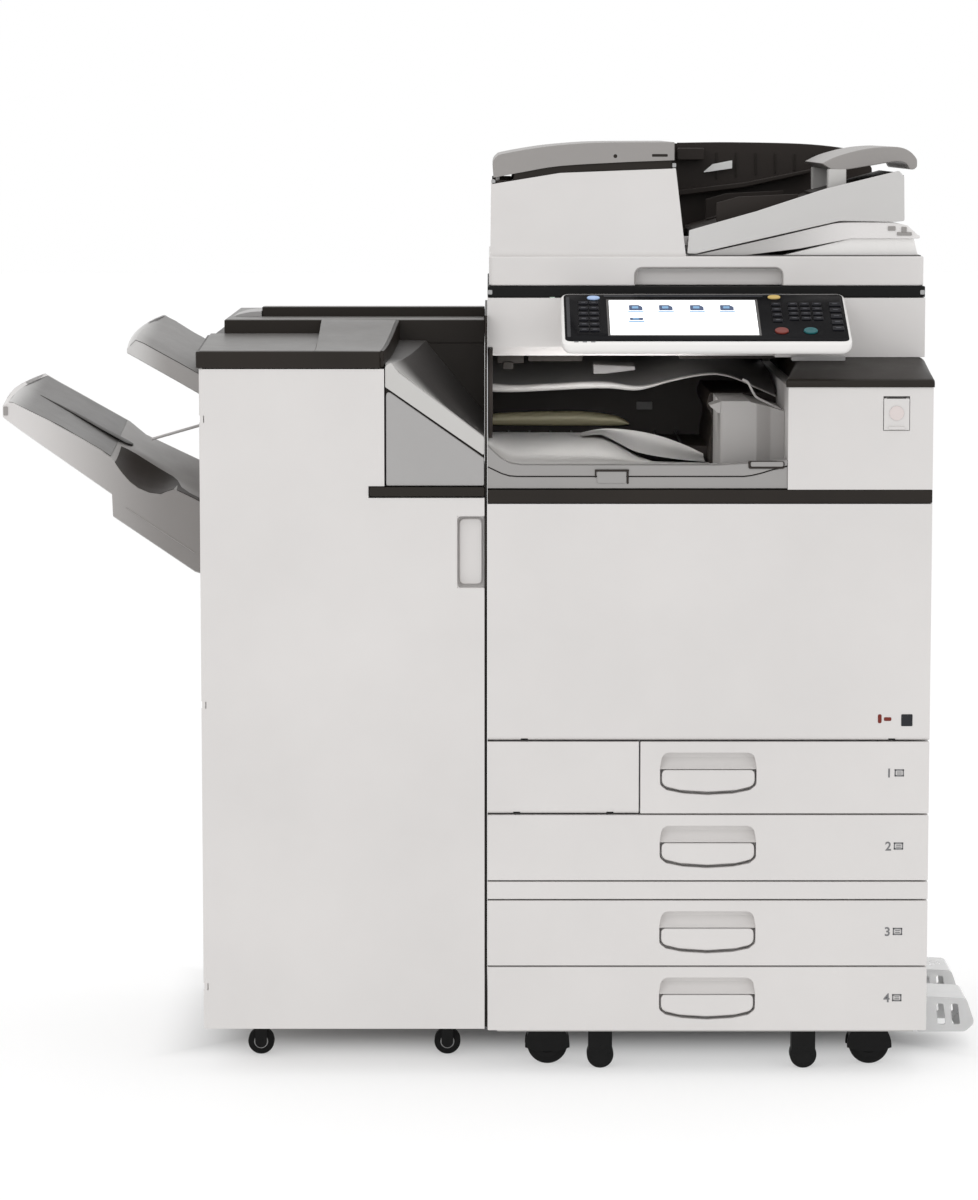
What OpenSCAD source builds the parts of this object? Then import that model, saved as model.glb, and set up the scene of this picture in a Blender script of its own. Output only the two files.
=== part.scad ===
// Floor-standing photocopier with a document feeder, four paper drawers and a docked finisher.
// Millimetres, +Z up, front towards -Y, origin on the floor under the centre of the outline.

/* [Main body] */
// Width of the main body
body_w = 587; // [585:1:589]
// Left face of the main body
body_left = -9; // [-9:0.5:-8]
// Front face of the doors and drawers
front_y = -300; // [-301:0.5:-300]
// Rear face of the rear cover
rear_y = 342; // [340:1:350]
// Underside of the body above the floor
floor_gap = 60; // [60:0.5:61]
// Thickness of the moulded panels
wall = 3; // [2.5:0.5:3.5]
// Visible gap between neighbouring panels
seam = 2; // [1.5:0.25:2.5]

/* [Heights of the front] */
// Line between drawers 4 and 3
line_43 = 148; // [146:0.5:150]
// Line between drawer 3 and the joining strip
line_3s = 238; // [236:0.5:240]
// Line between the joining strip and drawer 2
line_s2 = 263.5; // [262:0.5:265]
// Line between drawers 2 and 1
line_21 = 353.5; // [352:0.5:355]
// Line between drawer 1 and the front door
line_1d = 452; // [451:0.5:453]
// Line between the front door and the dark band
line_door = 769; // [767:0.5:770]
// Top of the dark band
line_band = 787; // [786:0.5:788]

/* [Doors and drawers] */
// Depth of the hollow fronts
front_t = 22; // [20:1:24]
// Left edge of drawer 1, beside the waste cover
drawer1_x = 193; // [190:1:196]
// Radius of the door hinge rods
hinge_rod = 2.5; // [2.5:0.1:2.6]
// Radius of the turned-under lower edge of a door
hinge_round = 6; // [6:0.1:6.2]
// Length of the handle recess
grip_w = 127; // [120:1:134]
// Height of the handle recess
grip_h = 54; // [50:1:56]
// Left end of the handle recess
grip_x = 221; // [216:1:226]

/* [Control panel] */
// Width of the control panel
panel_w = 379; // [370:1:385]
// Depth of the control panel along its slope
panel_d = 158; // [156:1:158]
// Slope of the control panel at rest
panel_tilt = 22; // [20:0.5:23]
// Thickness of the control panel
panel_t = 20; // [18:1:21]

/* [Scanner and feeder] */
// Front face of the scanner
scan_y = -180; // [-181:0.5:-180]
// Underside of the scanner
scan_z = 955; // [954:0.5:955]
// Top of the white scanner casing
scan_top = 1034.5; // [1034:0.5:1035]
// Top of the dark frame around the glass
frame_top = 1050; // [1049:0.5:1050]
// Top of the feeder's base
base_top = 1090; // [1089:0.5:1090]

/* [Castors] */
// Radius of the main castor wheels
wheel_r = 27.5; // [26:0.5:27.5]
// Radius of the finisher's castor wheels
small_wheel_r = 18; // [17:0.5:20]
// Radius of the wheel axles
axle_r = 4; // [3.5:0.25:4.5]
// Running clearance of shafts and pins
run = 0.06; // [0.03:0.01:0.09]

/* [Finisher] */
// Left face of the finisher
fin_x0 = -389; // [-391:1:-389]
// Right face of the finisher
fin_x1 = -13; // [-14:0.5:-13]
// Top edge of the finisher door
fin_door_top = 946; // [945:0.5:947]
// Height at which the finisher steps in for the bridge
fin_step_z = 777; // [776:1:778]
// Left edge of the bridge above the step
fin_step_x = -145; // [-147:1:-144]

/* [Hidden] */
$fn = 48;

white = [0.90, 0.90, 0.89];
light_grey = [0.72, 0.72, 0.71];
mid_grey = [0.55, 0.55, 0.54];
dark = [0.13, 0.12, 0.12];
steel = [0.66, 0.67, 0.69];

body_right = body_left + body_w;
cover_y0 = front_y + 24;
cover_y1 = rear_y - 30;
inner_left = body_left + wall;
inner_right = body_right - wall;
plate_t = 3;
plate_left = inner_left + plate_t;
plate_right = inner_right - plate_t;
half = seam / 2;

drawer_x0 = [drawer1_x + half, body_left, body_left, body_left];
drawer_z0 = [line_21 + half, line_s2 + half, line_43 + half, floor_gap + half];
drawer_z1 = [line_1d - half, line_21 - half, line_3s - half, line_43 - half];
tray_x0 = [drawer1_x + 11, plate_left + 8, plate_left + 8, plate_left + 8];
tray_x1 = plate_right - 8;
tray_y1 = 262;
tray_low = [6, 6, 6, 15];
tray_wall = 2;

door_z0 = line_1d + half;
door_z1 = line_door - half;
waste_z0 = line_21 + half;
waste_z1 = line_1d - half;
hinge_y = front_y + hinge_round;
door_axis_z = door_z0 + hinge_round;
waste_axis_z = waste_z0 + hinge_round;
door_lugs = [40, 528];
waste_lugs = [30, 154];
lug_w = 8;
lug_half = 2.1;
rib_w = 5;
rib_gap = 0.6;

toner_x = [80, 198, 316, 434];
toner_z = 712;
toner_r = 38;
unit_x = [60, 520];
unit_z = [492, 640];
glass_x = [25, 490];
glass_y = [-150, 200];

bay_right = 387;
cap_left = bay_right - 4;
bay_back = 232;
box_top = 922;
stripe_y1 = 312;

panel_x0 = 88.5;
panel_y = -195;
panel_z = 1041;
panel_axis = [-14, -12];
panel_lugs = [150, 418];
panel_lug_w = 14;

keys_left = [panel_x0 + 18, panel_x0 + 52];
keys_right = [panel_x0 + 276, panel_x0 + 372];
keys_y = [-136, -22];
key_pocket = -8;
screen_x = [152, 347];
screen_y = [-134, -24];
start_at = [417, -118];
stop_at = [379, -118];
function key_grid(x, y, columns, rows, step_x, step_y) =
    [for (i = [0:columns - 1], j = [0:rows - 1]) [x + i * step_x, y - j * step_y]];
small_keys = concat(
    key_grid(118, -34, 1, 6, 0, 17), key_grid(132, -34, 1, 6, 0, 17),
    key_grid(374, -38, 1, 4, 0, 17), key_grid(396, -38, 3, 4, 16, 15), key_grid(452, -38, 1, 5, 0, 19));

power_x = [512, 547];
power_z = [865, 910.3];
power_axis = [-296.5, 904.8];
switch_axis = [-286, 884];

lamp_rail = [[-150, 990], [205, 990]];
feeder_axis = [324, 1066];
feeder_lugs = [50, 508];
cover_axis = [5, 1206];
cover_lugs = [-140, 262];
tray_axis = [266, 1110];
tray_slope = 0.272;
function tray_z(x) = 1120 + (x - 262) * tray_slope;
cover_top = [[241, 1242], [141, 1242], [68, 1237], [10, 1228], [-2, 1222]];
cover_low = [[-2, 1194.5], [10, 1197], [88, 1210.5], [241, 1218]];
cover_inside = [[1, 1190], [88, 1207], [238, 1215], [238, 1239], [141, 1239], [68, 1234], [11, 1225],
                [1, 1220]];
roller_axis = [222, 1140];
roller_shaft = 5;
roller_r = 16;
bypass_axis = [584, 306];
bypass_hinges = [-140, 134];
bypass_hinge_w = 26;
bypass_pin = 3;
bypass_slot_y = [-120, 140];
bypass_slot_z = [370, 440];

castor_x = [72, 508];
castor_stem = [58, 522];
castor_front_y = -222;
stem_r = 6;
socket_top = floor_gap + 13;
castor_rear_y = 235;
foot_x = [143, 417];
foot_y = -247;
foot_r = 18;
fin_wheel_x = [-319, -64, -319, -64];
fin_wheel_y = [-165, -165, 210, 210];

fin_axis = [fin_x0 + hinge_round, hinge_y];
fin_y0 = front_y + 24;
fin_y1 = 298;
fin_lugs = [120, 500, 880];
fin_bottom = 63;
ledge_x = fin_step_x - 20;
ledge_z = [fin_step_z + 1, 790.5];
ledge_gap = 1;

// A box from its low and high limits along each axis
module box3(x, y, z) {
    translate([x[0], y[0], z[0]]) cube([x[1] - x[0], y[1] - y[0], z[1] - z[0]]);
}

// A rod along X, with its centre line at [y, z]
module rod_x(x, at, r) {
    translate([x[0], at[0], at[1]]) rotate([0, 90, 0]) cylinder(h = x[1] - x[0], r = r);
}

// A rod along Y, with its centre line at [x, z]
module rod_y(y, at, r) {
    translate([at[0], y[1], at[1]]) rotate([90, 0, 0]) cylinder(h = y[1] - y[0], r = r);
}

// A rod along Z, with its centre line at [x, y]
module rod_z(z, at, r) {
    translate([at[0], at[1], z[0]]) cylinder(h = z[1] - z[0], r = r);
}

// An outline of [x, z] points, drawn out along Y
module profile_xz(points, y) {
    translate([0, y[1], 0]) rotate([90, 0, 0]) linear_extrude(y[1] - y[0]) polygon(points);
}

// An outline of [y, z] points, drawn out along X
module profile_yz(points, x) {
    translate([x[0], 0, 0]) rotate([90, 0, 90]) linear_extrude(x[1] - x[0]) polygon(points);
}

// A moulded front, hollow from behind
module hollow_front(x, z) {
    difference() {
        box3(x, [front_y, front_y + front_t], z);
        box3([x[0] + wall, x[1] - wall], [front_y + wall, front_y + front_t + 1],
             [z[0] + wall, z[1] - wall]);
    }
}

// A front that folds down about a rod inside its turned-under lower edge
module drop_front(x, z, lugs) {
    axis_z = z[0] + hinge_round;
    difference() {
        union() {
            box3(x, [front_y, front_y + wall], [axis_z, z[1]]);
            box3(x, [front_y, front_y + front_t], [z[1] - wall, z[1]]);
            for (side = [x[0], x[1] - wall]) {
                box3([side, side + wall], [front_y, front_y + front_t], [axis_z, z[1]]);
            }
            intersection() {
                rod_x(x, [hinge_y, axis_z], hinge_round);
                box3([x[0], x[1]], [front_y - 1, hinge_y], [z[0] - 1, axis_z]);
            }
            for (lug = lugs, side = [-1, 1]) {
                rib = lug + side * (lug_w / 2 + rib_gap + rib_w / 2);
                rod_x([rib - rib_w / 2, rib + rib_w / 2], [hinge_y, axis_z], hinge_round);
                box3([rib - rib_w / 2, rib + rib_w / 2], [front_y, hinge_y + hinge_round],
                     [axis_z, axis_z + 12]);
            }
        }
        difference() {
            box3([x[0] - 1, x[1] + 1], [front_y + wall, hinge_y + 1], [z[0] - 1, axis_z]);
            difference() {
                rod_x([x[0] - 2, x[1] + 2], [hinge_y, axis_z], hinge_round + 1);
                rod_x([x[0] - 2, x[1] + 2], [hinge_y, axis_z], hinge_round - wall);
            }
            for (lug = lugs, side = [-1, 1]) {
                rib = lug + side * (lug_w / 2 + rib_gap + rib_w / 2);
                rod_x([rib - rib_w / 2, rib + rib_w / 2], [hinge_y, axis_z], hinge_round + 1);
            }
        }
        for (lug = lugs) {
            rod_x([lug - 12, lug + 12], [hinge_y, axis_z], hinge_rod + run);
            box3([lug - lug_w / 2 - rib_gap, lug + lug_w / 2 + rib_gap],
                 [front_y - 1, hinge_y + 1], [z[0] - 1, axis_z]);
        }
    }
}

// The fixed lugs and rods that a folding front turns on
module drop_front_lugs(z0, lugs) {
    axis_z = z0 + hinge_round;
    for (lug = lugs) {
        reach = lug_w / 2 + rib_gap + rib_w;
        rod_x([lug - reach, lug + reach], [hinge_y, axis_z], hinge_rod);
        box3([lug - lug_w / 2, lug + lug_w / 2], [hinge_y, cover_y0 + 6],
             [axis_z - lug_half, axis_z + lug_half]);
    }
}

// Everything drawn in the control panel's own sloping frame
module on_panel() {
    translate([0, panel_y, panel_z]) rotate([panel_tilt, 0, 0]) children();
}

module chassis() color(steel) {
    difference() {
        box3([inner_left, inner_right], [cover_y0 + 2, cover_y1], [floor_gap, floor_gap + plate_t - 1]);
        for (x = castor_stem) rod_z([floor_gap - 1, floor_gap + plate_t], [x, castor_front_y], stem_r + 2);
    }
    box3([inner_left, plate_left], [cover_y0 + 2, cover_y1], [floor_gap, line_band]);
    difference() {
        box3([plate_right, inner_right], [cover_y0 + 2, cover_y1], [floor_gap, line_band]);
        box3([plate_right - 1, inner_right + 1], bypass_slot_y, bypass_slot_z);
    }
    for (z = [line_43, line_3s, line_s2, line_21, line_1d]) {
        box3([inner_left, inner_right], [cover_y0 + 2, cover_y1], [z - 1, z + 0.5]);
    }
    box3([inner_left, inner_right], [cover_y0 + 2, cover_y1], [line_band - plate_t, line_band]);
    box3([inner_left, inner_right], [cover_y1 - plate_t, cover_y1], [floor_gap, line_band]);
    box3([inner_left, cap_left - 1], [bay_back, bay_back + plate_t], [line_band, scan_z]);
    // partition between drawer 1 and the waste bottle bay
    box3([drawer1_x - 1, drawer1_x + 2], [cover_y0 + 2, cover_y1], [line_21, line_1d]);
    // drawer rails
    for (i = [0:3]) {
        rail_z = drawer_z0[i] + tray_low[i] + 3;
        rail_x = i == 0 ? drawer1_x + 2 : plate_left;
        box3([rail_x, tray_x0[i] - 1], [cover_y0 + 2, tray_y1], [rail_z, rail_z + 4]);
        box3([tray_x1 + 1, plate_right], [cover_y0 + 2, tray_y1], [rail_z, rail_z + 4]);
    }
    // cross rails and hinge lugs behind the folding fronts
    box3([inner_left, inner_right], [cover_y0 + 2, cover_y0 + 6], [line_1d, door_axis_z + 5]);
    box3([inner_left, drawer1_x], [cover_y0 + 2, cover_y0 + 6], [line_21, waste_axis_z + 5]);
    drop_front_lugs(door_z0, door_lugs);
    drop_front_lugs(waste_z0, waste_lugs);
    // inner front plate with the openings of the toner bottles and the imaging unit
    difference() {
        box3([inner_left, inner_right], [cover_y0 + 5, cover_y0 + 8], [door_axis_z, line_band]);
        for (x = toner_x) rod_y([cover_y0, cover_y0 + 12], [x, toner_z], toner_r + 2);
        box3([unit_x[0] - 4, unit_x[1] + 4], [cover_y0, cover_y0 + 12], [unit_z[0] - 4, unit_z[1] + 4]);
    }
    box3([plate_left, plate_right], [cover_y0 + 7, 160], [667, 670]);
}

module side_covers() color(white) {
    // left cover, cut low beside the paper path into the finisher
    profile_yz([[cover_y0, floor_gap], [cover_y1, floor_gap], [cover_y1, scan_z], [bay_back, scan_z],
                [bay_back, line_band], [cover_y0, line_band]], [body_left, inner_left]);
    // right cover with the opening behind the bypass flap
    difference() {
        box3([inner_right, body_right], [cover_y0, cover_y1], [floor_gap, line_band]);
        box3([inner_right - 1, body_right + 1], bypass_slot_y, bypass_slot_z);
    }
    bypass_ears();
}

module rear_cover() color(white) difference() {
    box3([body_left, body_right], [cover_y1, rear_y], [floor_gap, scan_z - 5]);
    box3([inner_left, inner_right], [cover_y1 - 1, rear_y - wall], [floor_gap + wall, scan_z - 5 - wall]);
    for (i = [0:11], x = [60, 380]) {
        box3([x, x + 110], [rear_y - 10, rear_y + 1], [640 + 16 * i, 646 + 16 * i]);
    }
    // power inlet
    box3([500, 528], [rear_y - 10, rear_y + 1], [120, 140]);
}

// A strip across the front that reaches back between the side covers
module cross_strip(z) {
    box3([body_left, body_right], [front_y, cover_y0], z);
    box3([inner_left, inner_right], [cover_y0, cover_y0 + 2], z);
}

module front_strip() color(white) cross_strip([line_3s + half, line_s2 - half]);

module dark_trims() color(dark) {
    cross_strip([line_door, line_band]);
    profile_yz([[front_y - 2, box_top], [front_y - 2, box_top + 9.5], [scan_y, scan_z - 4],
                [scan_y + 3, scan_z], [cover_y1, scan_z], [cover_y1, box_top]], [cap_left, body_right + 2]);
    difference() {
        box3([body_left, body_right], [scan_y, stripe_y1], [scan_top, frame_top]);
        box3(glass_x, glass_y, [scan_top - 1, frame_top + 1]);
    }
}

module toner_bottles() color(dark)
    for (x = toner_x) rod_y([cover_y0 - 6, 150], [x, toner_z], toner_r);

module imaging_unit() color(dark) {
    box3(unit_x, [cover_y0 + 8.5, 190], unit_z);
    for (i = [0:3]) box3([80 + 115 * i, 140 + 115 * i], [cover_y0 - 4, cover_y0 + 8.5], [510, 560]);
}

module exit_tray() color(light_grey) {
    difference() {
        profile_xz([[body_left, line_band], [bay_right, line_band], [bay_right, 818], [290, 818],
                    [160, 838], [12, 838], [body_left, 846]], [cover_y0 + 4, bay_back]);
        box3([body_left + 30, bay_right - 30], [cover_y0 + 20, bay_back - 20], [line_band - 1, 806]);
    }
    // front sill
    profile_xz([[body_left, line_band], [bay_right, line_band], [bay_right, 833], [0, 833], [body_left, 840]],
               [front_y + 2, cover_y0 + 4]);
    // upright box at the right of the bay
    box3([296, bay_right], [-240, -70], [818, 900]);
}

module bridge_unit() color(mid_grey)
    profile_xz([[body_left + 3, 905], [198, 908], [250, 912], [300, 926], [345, 922], [cap_left - 1, 906],
                [cap_left - 1, 930], [345, 944], [307, 950], [260, 944], [198, 931], [body_left + 3, 929]],
               [-100, bay_back]);

module right_box() color(white) {
    difference() {
        union() {
            difference() {
                box3([bay_right, body_right], [front_y, cover_y1], [line_band, box_top]);
                box3([bay_right + wall, body_right - wall], [front_y + wall, cover_y1 - wall],
                     [line_band - 1, box_top - wall]);
            }
            box3([power_x[0] - wall, power_x[1] + wall], [front_y, -277],
                 [power_z[0] - wall, power_z[1] + wall]);
        }
        box3(power_x, [front_y - 1, -280], power_z);
    }
    for (x = [[power_x[0], power_x[0] + 5], [power_x[1] - 5, power_x[1]]]) rod_x(x, power_axis, 1.5);
    for (x = [519, 537.5]) box3([x, x + 2.5], [-290, -280], [880, 888]);
    rod_x([519, 540], switch_axis, 2);
}

module stapler_unit() color(steel) {
    box3([fin_x0 + 3, -200], [-180, 40], [585, 590]);
    box3([fin_x0 + 20, -240], [-170, 20], [590, 680]);
    for (y = [-150, -60]) box3([-310, -270], [y, y + 50], [680, 712]);
}

module scanner_body() color(white) {
    difference() {
        union() {
            box3([bay_right - 10, body_right], [scan_y, stripe_y1], [scan_z, scan_top]);
            box3([body_left, bay_right - 10], [scan_y, stripe_y1], [969, scan_top]);
            box3([body_left, bay_right - 10], [scan_y + 40, stripe_y1], [scan_z, 970]);
        }
        box3([body_left + 4, body_right - 4], [scan_y + 4, stripe_y1 - 4], [973, scan_top + 1]);
    }
    for (rail = lamp_rail) rod_x([body_left + 4, body_right - 4], rail, 4);
    // lugs and rods that carry the control panel
    for (lug = panel_lugs) {
        axis_y = panel_y + panel_axis[0] * cos(panel_tilt) - panel_axis[1] * sin(panel_tilt);
        axis_z = panel_z + panel_axis[0] * sin(panel_tilt) + panel_axis[1] * cos(panel_tilt);
        box3([lug - panel_lug_w / 2, lug + panel_lug_w / 2], [axis_y, scan_y], [axis_z - 3.4, axis_z + 3.4]);
        rod_x([lug - 18, lug + 18], [axis_y, axis_z], 4);
    }
    // posts and rods that carry the feeder
    for (lug = feeder_lugs) {
        box3([lug - 14, lug - 2], [stripe_y1, feeder_axis[0] + 9], [1000, feeder_axis[1] + 9]);
        rod_x([lug - 14, lug + 14], feeder_axis, 5);
    }
}

module exposure_glass() color([0.7, 0.8, 0.8, 0.6])
    box3(glass_x, glass_y, [frame_top - 5, frame_top - 0.5]);

module stabiliser(y) {
    difference() {
        profile_xz([[body_right + 6, 22], [640, 22], [663, 38], [650, 66], [body_right + 6, 72]],
                   [y, y + 90]);
        profile_xz([[body_right + 10, 21], [636, 21], [657, 39], [646, 62], [body_right + 10, 68]],
                   [y + 4, y + 86]);
    }
    box3([500, body_right + 6], [y + 20, y + 60], [floor_gap - 14, floor_gap - 6]);
    box3([500, 560], [y + 20, y + 60], [floor_gap - 6, floor_gap]);
}

module stabilisers() color(light_grey) for (y = [-130, 60]) stabiliser(y);

// A castor fork over a wheel at x, y, with its axle
module fork(x, y, r, half_w, top) {
    for (side = [-1, 1]) {
        rod_y([y + side * (half_w + 2) - 1.5, y + side * (half_w + 2) + 1.5], [x, r], axle_r + 4);
        box3([x - 8, x + 8], [y + side * (half_w + 2) - 1.5, y + side * (half_w + 2) + 1.5], [r, top]);
    }
    rod_y([y - half_w - 3.5, y + half_w + 3.5], [x, r], axle_r);
    box3([x - 14, x + 14], [y - half_w - 3.5, y + half_w + 3.5], [top - 3, top]);
}

module caster_brackets() color(dark) {
    // sockets of the swivelling front castors
    for (x = castor_stem) difference() {
        rod_z([floor_gap + plate_t - 1, socket_top], [x, castor_front_y], 14);
        rod_z([floor_gap, socket_top + 1], [x, castor_front_y], stem_r + run);
    }
    for (x = castor_x) fork(x, castor_rear_y, wheel_r, 11, floor_gap);
    // hooded levelling feet
    for (x = foot_x) {
        rod_y([foot_y - 10, foot_y + 10], [x, foot_r], foot_r);
        box3([x - 16, x + 16], [foot_y - 13, foot_y + 13], [foot_r + 6, floor_gap]);
    }
    for (i = [0:3]) fork(fin_wheel_x[i], fin_wheel_y[i], small_wheel_r, 9, fin_bottom);
}

module front_door() color(white) drop_front([body_left, body_right], [door_z0, door_z1], door_lugs);

module waste_cover() color(white)
    drop_front([body_left, drawer1_x - half], [waste_z0, waste_z1], waste_lugs);

module drawer_front(i) color(white) {
    top = drawer_z1[i] - 15;
    difference() {
        union() {
            hollow_front([drawer_x0[i], body_right], [drawer_z0[i], drawer_z1[i]]);
            box3([grip_x - wall, grip_x + grip_w + wall], [front_y, front_y + front_t],
                 [top - grip_h - wall, top + wall]);
        }
        box3([grip_x, grip_x + grip_w], [front_y - 1, front_y + front_t - 2], [top - grip_h, top]);
    }
    // grip bar across the lower part of the recess
    box3([grip_x, grip_x + grip_w], [front_y, front_y + 7], [top - grip_h + 8, top - grip_h + 31]);
}

module drawer_tray(i) color(mid_grey) {
    z = [drawer_z0[i] + tray_low[i], drawer_z1[i] - 10];
    difference() {
        box3([tray_x0[i], tray_x1], [front_y + front_t, tray_y1], z);
        box3([tray_x0[i] + tray_wall, tray_x1 - tray_wall],
             [front_y + front_t + tray_wall, tray_y1 - tray_wall], [z[0] + tray_wall, z[1] + 1]);
    }
    for (x = [[tray_x0[i] - 5, tray_x0[i]], [tray_x1, tray_x1 + 5]]) {
        box3(x, [front_y + front_t + 10, tray_y1], [z[0] + 7.5, z[0] + 10]);
    }
}

module panel_housing() color(white) on_panel() difference() {
    box3([panel_x0, panel_x0 + panel_w], [-panel_d, 0], [-panel_t, 0]);
    box3([panel_x0 + 5, panel_x0 + panel_w - 5], [-panel_d + 10, -5], [-2, 1]);
    for (lug = panel_lugs) {
        box3([lug - panel_lug_w / 2 - 1, lug + panel_lug_w / 2 + 1], [panel_axis[0] - 7, 1],
             [-panel_t - 1, panel_axis[1] + 6]);
        rod_x([lug - 19, lug + 19], panel_axis, 4 + run);
    }
    for (x = [keys_left, keys_right]) box3(x, keys_y, [key_pocket, 1]);
}

module panel_glass() color([0.03, 0.03, 0.04]) on_panel() difference() {
    box3([panel_x0 + 5, panel_x0 + panel_w - 5], [-panel_d + 10, -5], [-2, 0.4]);
    box3(screen_x, screen_y, [-1.2, 1]);
    for (key = small_keys) key_hole(key);
    for (key = [start_at, stop_at]) translate([key[0], key[1], -3]) cylinder(h = 5, r = 9.5);
}

module key_hole(key)
    box3([key[0] - 6, key[0] + 6], [key[1] - 4.5, key[1] + 4.5], [-3, 2]);

module lcd_screen() color([0.9, 0.93, 0.96]) on_panel() box3(screen_x, screen_y, [-1.2, 0.2]);

module panel_keys() color(dark) on_panel() {
    for (key = small_keys) box3([key[0] - 5, key[0] + 5], [key[1] - 3.5, key[1] + 3.5], [-4, 1.6]);
    // hidden carrier plates under the keys
    box3([110, 139], [-128, -27], [-6, -4]);
    box3([367, 443], [-97, -30], [-6, -4]);
    box3([445, 459], [-122, -30], [-6, -4]);
}

module round_key(at) on_panel() {
    translate([at[0], at[1], -3.5]) cylinder(h = 5.3, r = 8.5);
}

module start_key() color([0.1, 0.55, 0.5]) round_key(start_at);

module stop_key() color([0.75, 0.25, 0.18]) round_key(stop_at);

module power_cover() color(white) difference() {
    union() {
        box3([power_x[0] + 0.8, power_x[1] - 0.8], [-301, -298], [power_z[0] + 0.8, 907]);
        box3([519, 540], [-303, -301], [867, 870]);
        for (x = [[513.4, 516.8], [542.2, 545.6]]) rod_x(x, power_axis, 3.2);
    }
    rod_x([510, 550], power_axis, 1.5 + run);
}

module power_switch() color(dark) difference() {
    box3([522, 537], [-291, -284], [872, 896]);
    rod_x([520, 539], switch_axis, 2 + run);
}

// A carriage that runs along the two rods inside the scanner
module carriage(x, top) {
    difference() {
        box3(x, [-165, 220], [980, top]);
        for (rail = lamp_rail) rod_x([x[0] - 1, x[1] + 1], rail, 4 + run);
        box3([x[0] + 4, x[1] - 4], [-135, 190], [984, top + 1]);
    }
}

module lamp_carriage() color(steel) carriage([62, 104], 1026);

module mirror_carriage() color(steel) carriage([6, 50], 1020);

module feeder_base() color(white) {
    difference() {
        box3([body_left + 2, body_right - 2], [scan_y + 2, 298], [frame_top + 1.2, base_top]);
        box3([190, 385], [scan_y + 1, scan_y + 20], [frame_top, 1074]);
        box3([10, 560], [scan_y + 30, 280], [frame_top, base_top - 4]);
    }
    // platen pad, clear of an original on the glass
    box3([10, 560], [scan_y + 30, 280], [frame_top + 2.4, frame_top + 8]);
    for (lug = feeder_lugs) difference() {
        box3([lug, lug + 12], [290, feeder_axis[0] + 8], [feeder_axis[1] - 8, feeder_axis[1] + 8]);
        rod_x([lug - 1, lug + 13], feeder_axis, 5 + run);
    }
    // raised tray for finished documents
    difference() {
        profile_xz([[262, base_top], [280, 1093], [456, 1130], [556, 1130], [571, base_top]], [-168, 230]);
        profile_xz([[300, base_top - 1], [460, 1124], [550, 1124], [562, base_top - 1]], [-160, 222]);
    }
    // rear housing behind the document tray
    profile_xz([[262, base_top], [545, base_top], [540, 1203], [500, 1236], [264, 1240]], [232, 240]);
}

module feeder_body() color(white) {
    difference() {
        profile_xz([[-5, base_top], [257, base_top], [243, 1207], [88, 1201], [-4, 1186]], [-172, 298]);
        profile_xz([[0, base_top + 3], [252, base_top + 3], [239, 1216], [88, 1210], [0, 1196]], [-168, 294]);
        box3([230, 260], [-120, 200], [1124, 1230]);
        box3([240, 262], [-120, 200], [1096, 1106]);
    }
    for (y = [-64, 58]) difference() {
        box3([roller_axis[0] - 10, roller_axis[0] + 10], [y, y + 6], [base_top + 3, roller_axis[1] + 10]);
        rod_y([y - 1, y + 7], roller_axis, roller_shaft + run);
    }
    for (lug = cover_lugs) {
        box3([cover_axis[0] - lug_half, cover_axis[0] + lug_half], [lug - 4, lug + 4],
             [1180, cover_axis[1]]);
        rod_y([lug - 10, lug + 10], cover_axis, 2.5);
        box3([-4, cover_axis[0] + 2.5], [lug - 4, lug + 4], [1178, 1186]);
    }
    // ears that carry the document tray
    for (y = [-150, 214]) difference() {
        box3([250, tray_axis[0] + 6], [y, y + 8], [tray_axis[1] - 6, tray_axis[1] + 6]);
        rod_y([y - 1, y + 9], tray_axis, 3 + run);
    }
}

module feeder_cover() color(mid_grey) difference() {
    union() {
        difference() {
            profile_xz(concat(cover_low, cover_top), [-172, 296]);
            profile_xz(cover_inside, [-169, 293]);
        }
        for (lug = cover_lugs, side = [-1, 1]) {
            rib = lug + side * 7.5;
            rod_y([rib - 2.5, rib + 2.5], cover_axis, 6);
            box3([cover_axis[0] - 4, cover_axis[0] + 4], [rib - 2.5, rib + 2.5], [cover_axis[1], 1226]);
        }
    }
    for (lug = cover_lugs) {
        rod_y([lug - 11, lug + 11], cover_axis, 2.5 + run);
        box3([-4, 2], [lug - 5, lug + 5], [1190, cover_axis[1]]);
    }
}

module feeder_tray() color(light_grey) {
    difference() {
        union() {
            // sloping floor
            profile_xz([[272, tray_z(272) - 4], [549, tray_z(549) - 4], [549, tray_z(549)],
                        [272, tray_z(272)]], [-164, 204]);
            // front wall
            profile_xz([[264, 1132], [323, 1140], [352, 1152], [456, 1182], [549, 1204], [549, 1137],
                        [490, 1142], [460, 1138], [290, 1100], [272, 1100], [264, 1108]], [-170, -164]);
        }
        rod_y([-171, 205], tray_axis, 7);
    }
    // hinge barrel ends
    for (y = [[-170, -150.5], [-141.5, -134], [206.5, 213.5], [222.5, 230]]) {
        rod_y(y, tray_axis, 6);
        box3([tray_axis[0], tray_axis[0] + 12], y, [tray_axis[1], tray_axis[1] + 5]);
    }
    for (y = [[-170, -134], [206.5, 230]]) rod_y(y, tray_axis, 3);
    profile_xz([[276, 1110], [280, 1110], [280, tray_z(280) - 2], [276, tray_z(276) - 2]],
               [-164, 230]);
}

module tray_extension() color(mid_grey)
    profile_xz([[440, tray_z(440) + 1], [549, tray_z(549) + 1], [549, tray_z(549) + 5], [480, 1192],
                [520, 1222], [558, 1228], [572, 1223], [575, 1210], [580, 1210], [577, 1229], [560, 1234],
                [518, 1229], [452, 1190]], [-150, 160]);

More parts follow.
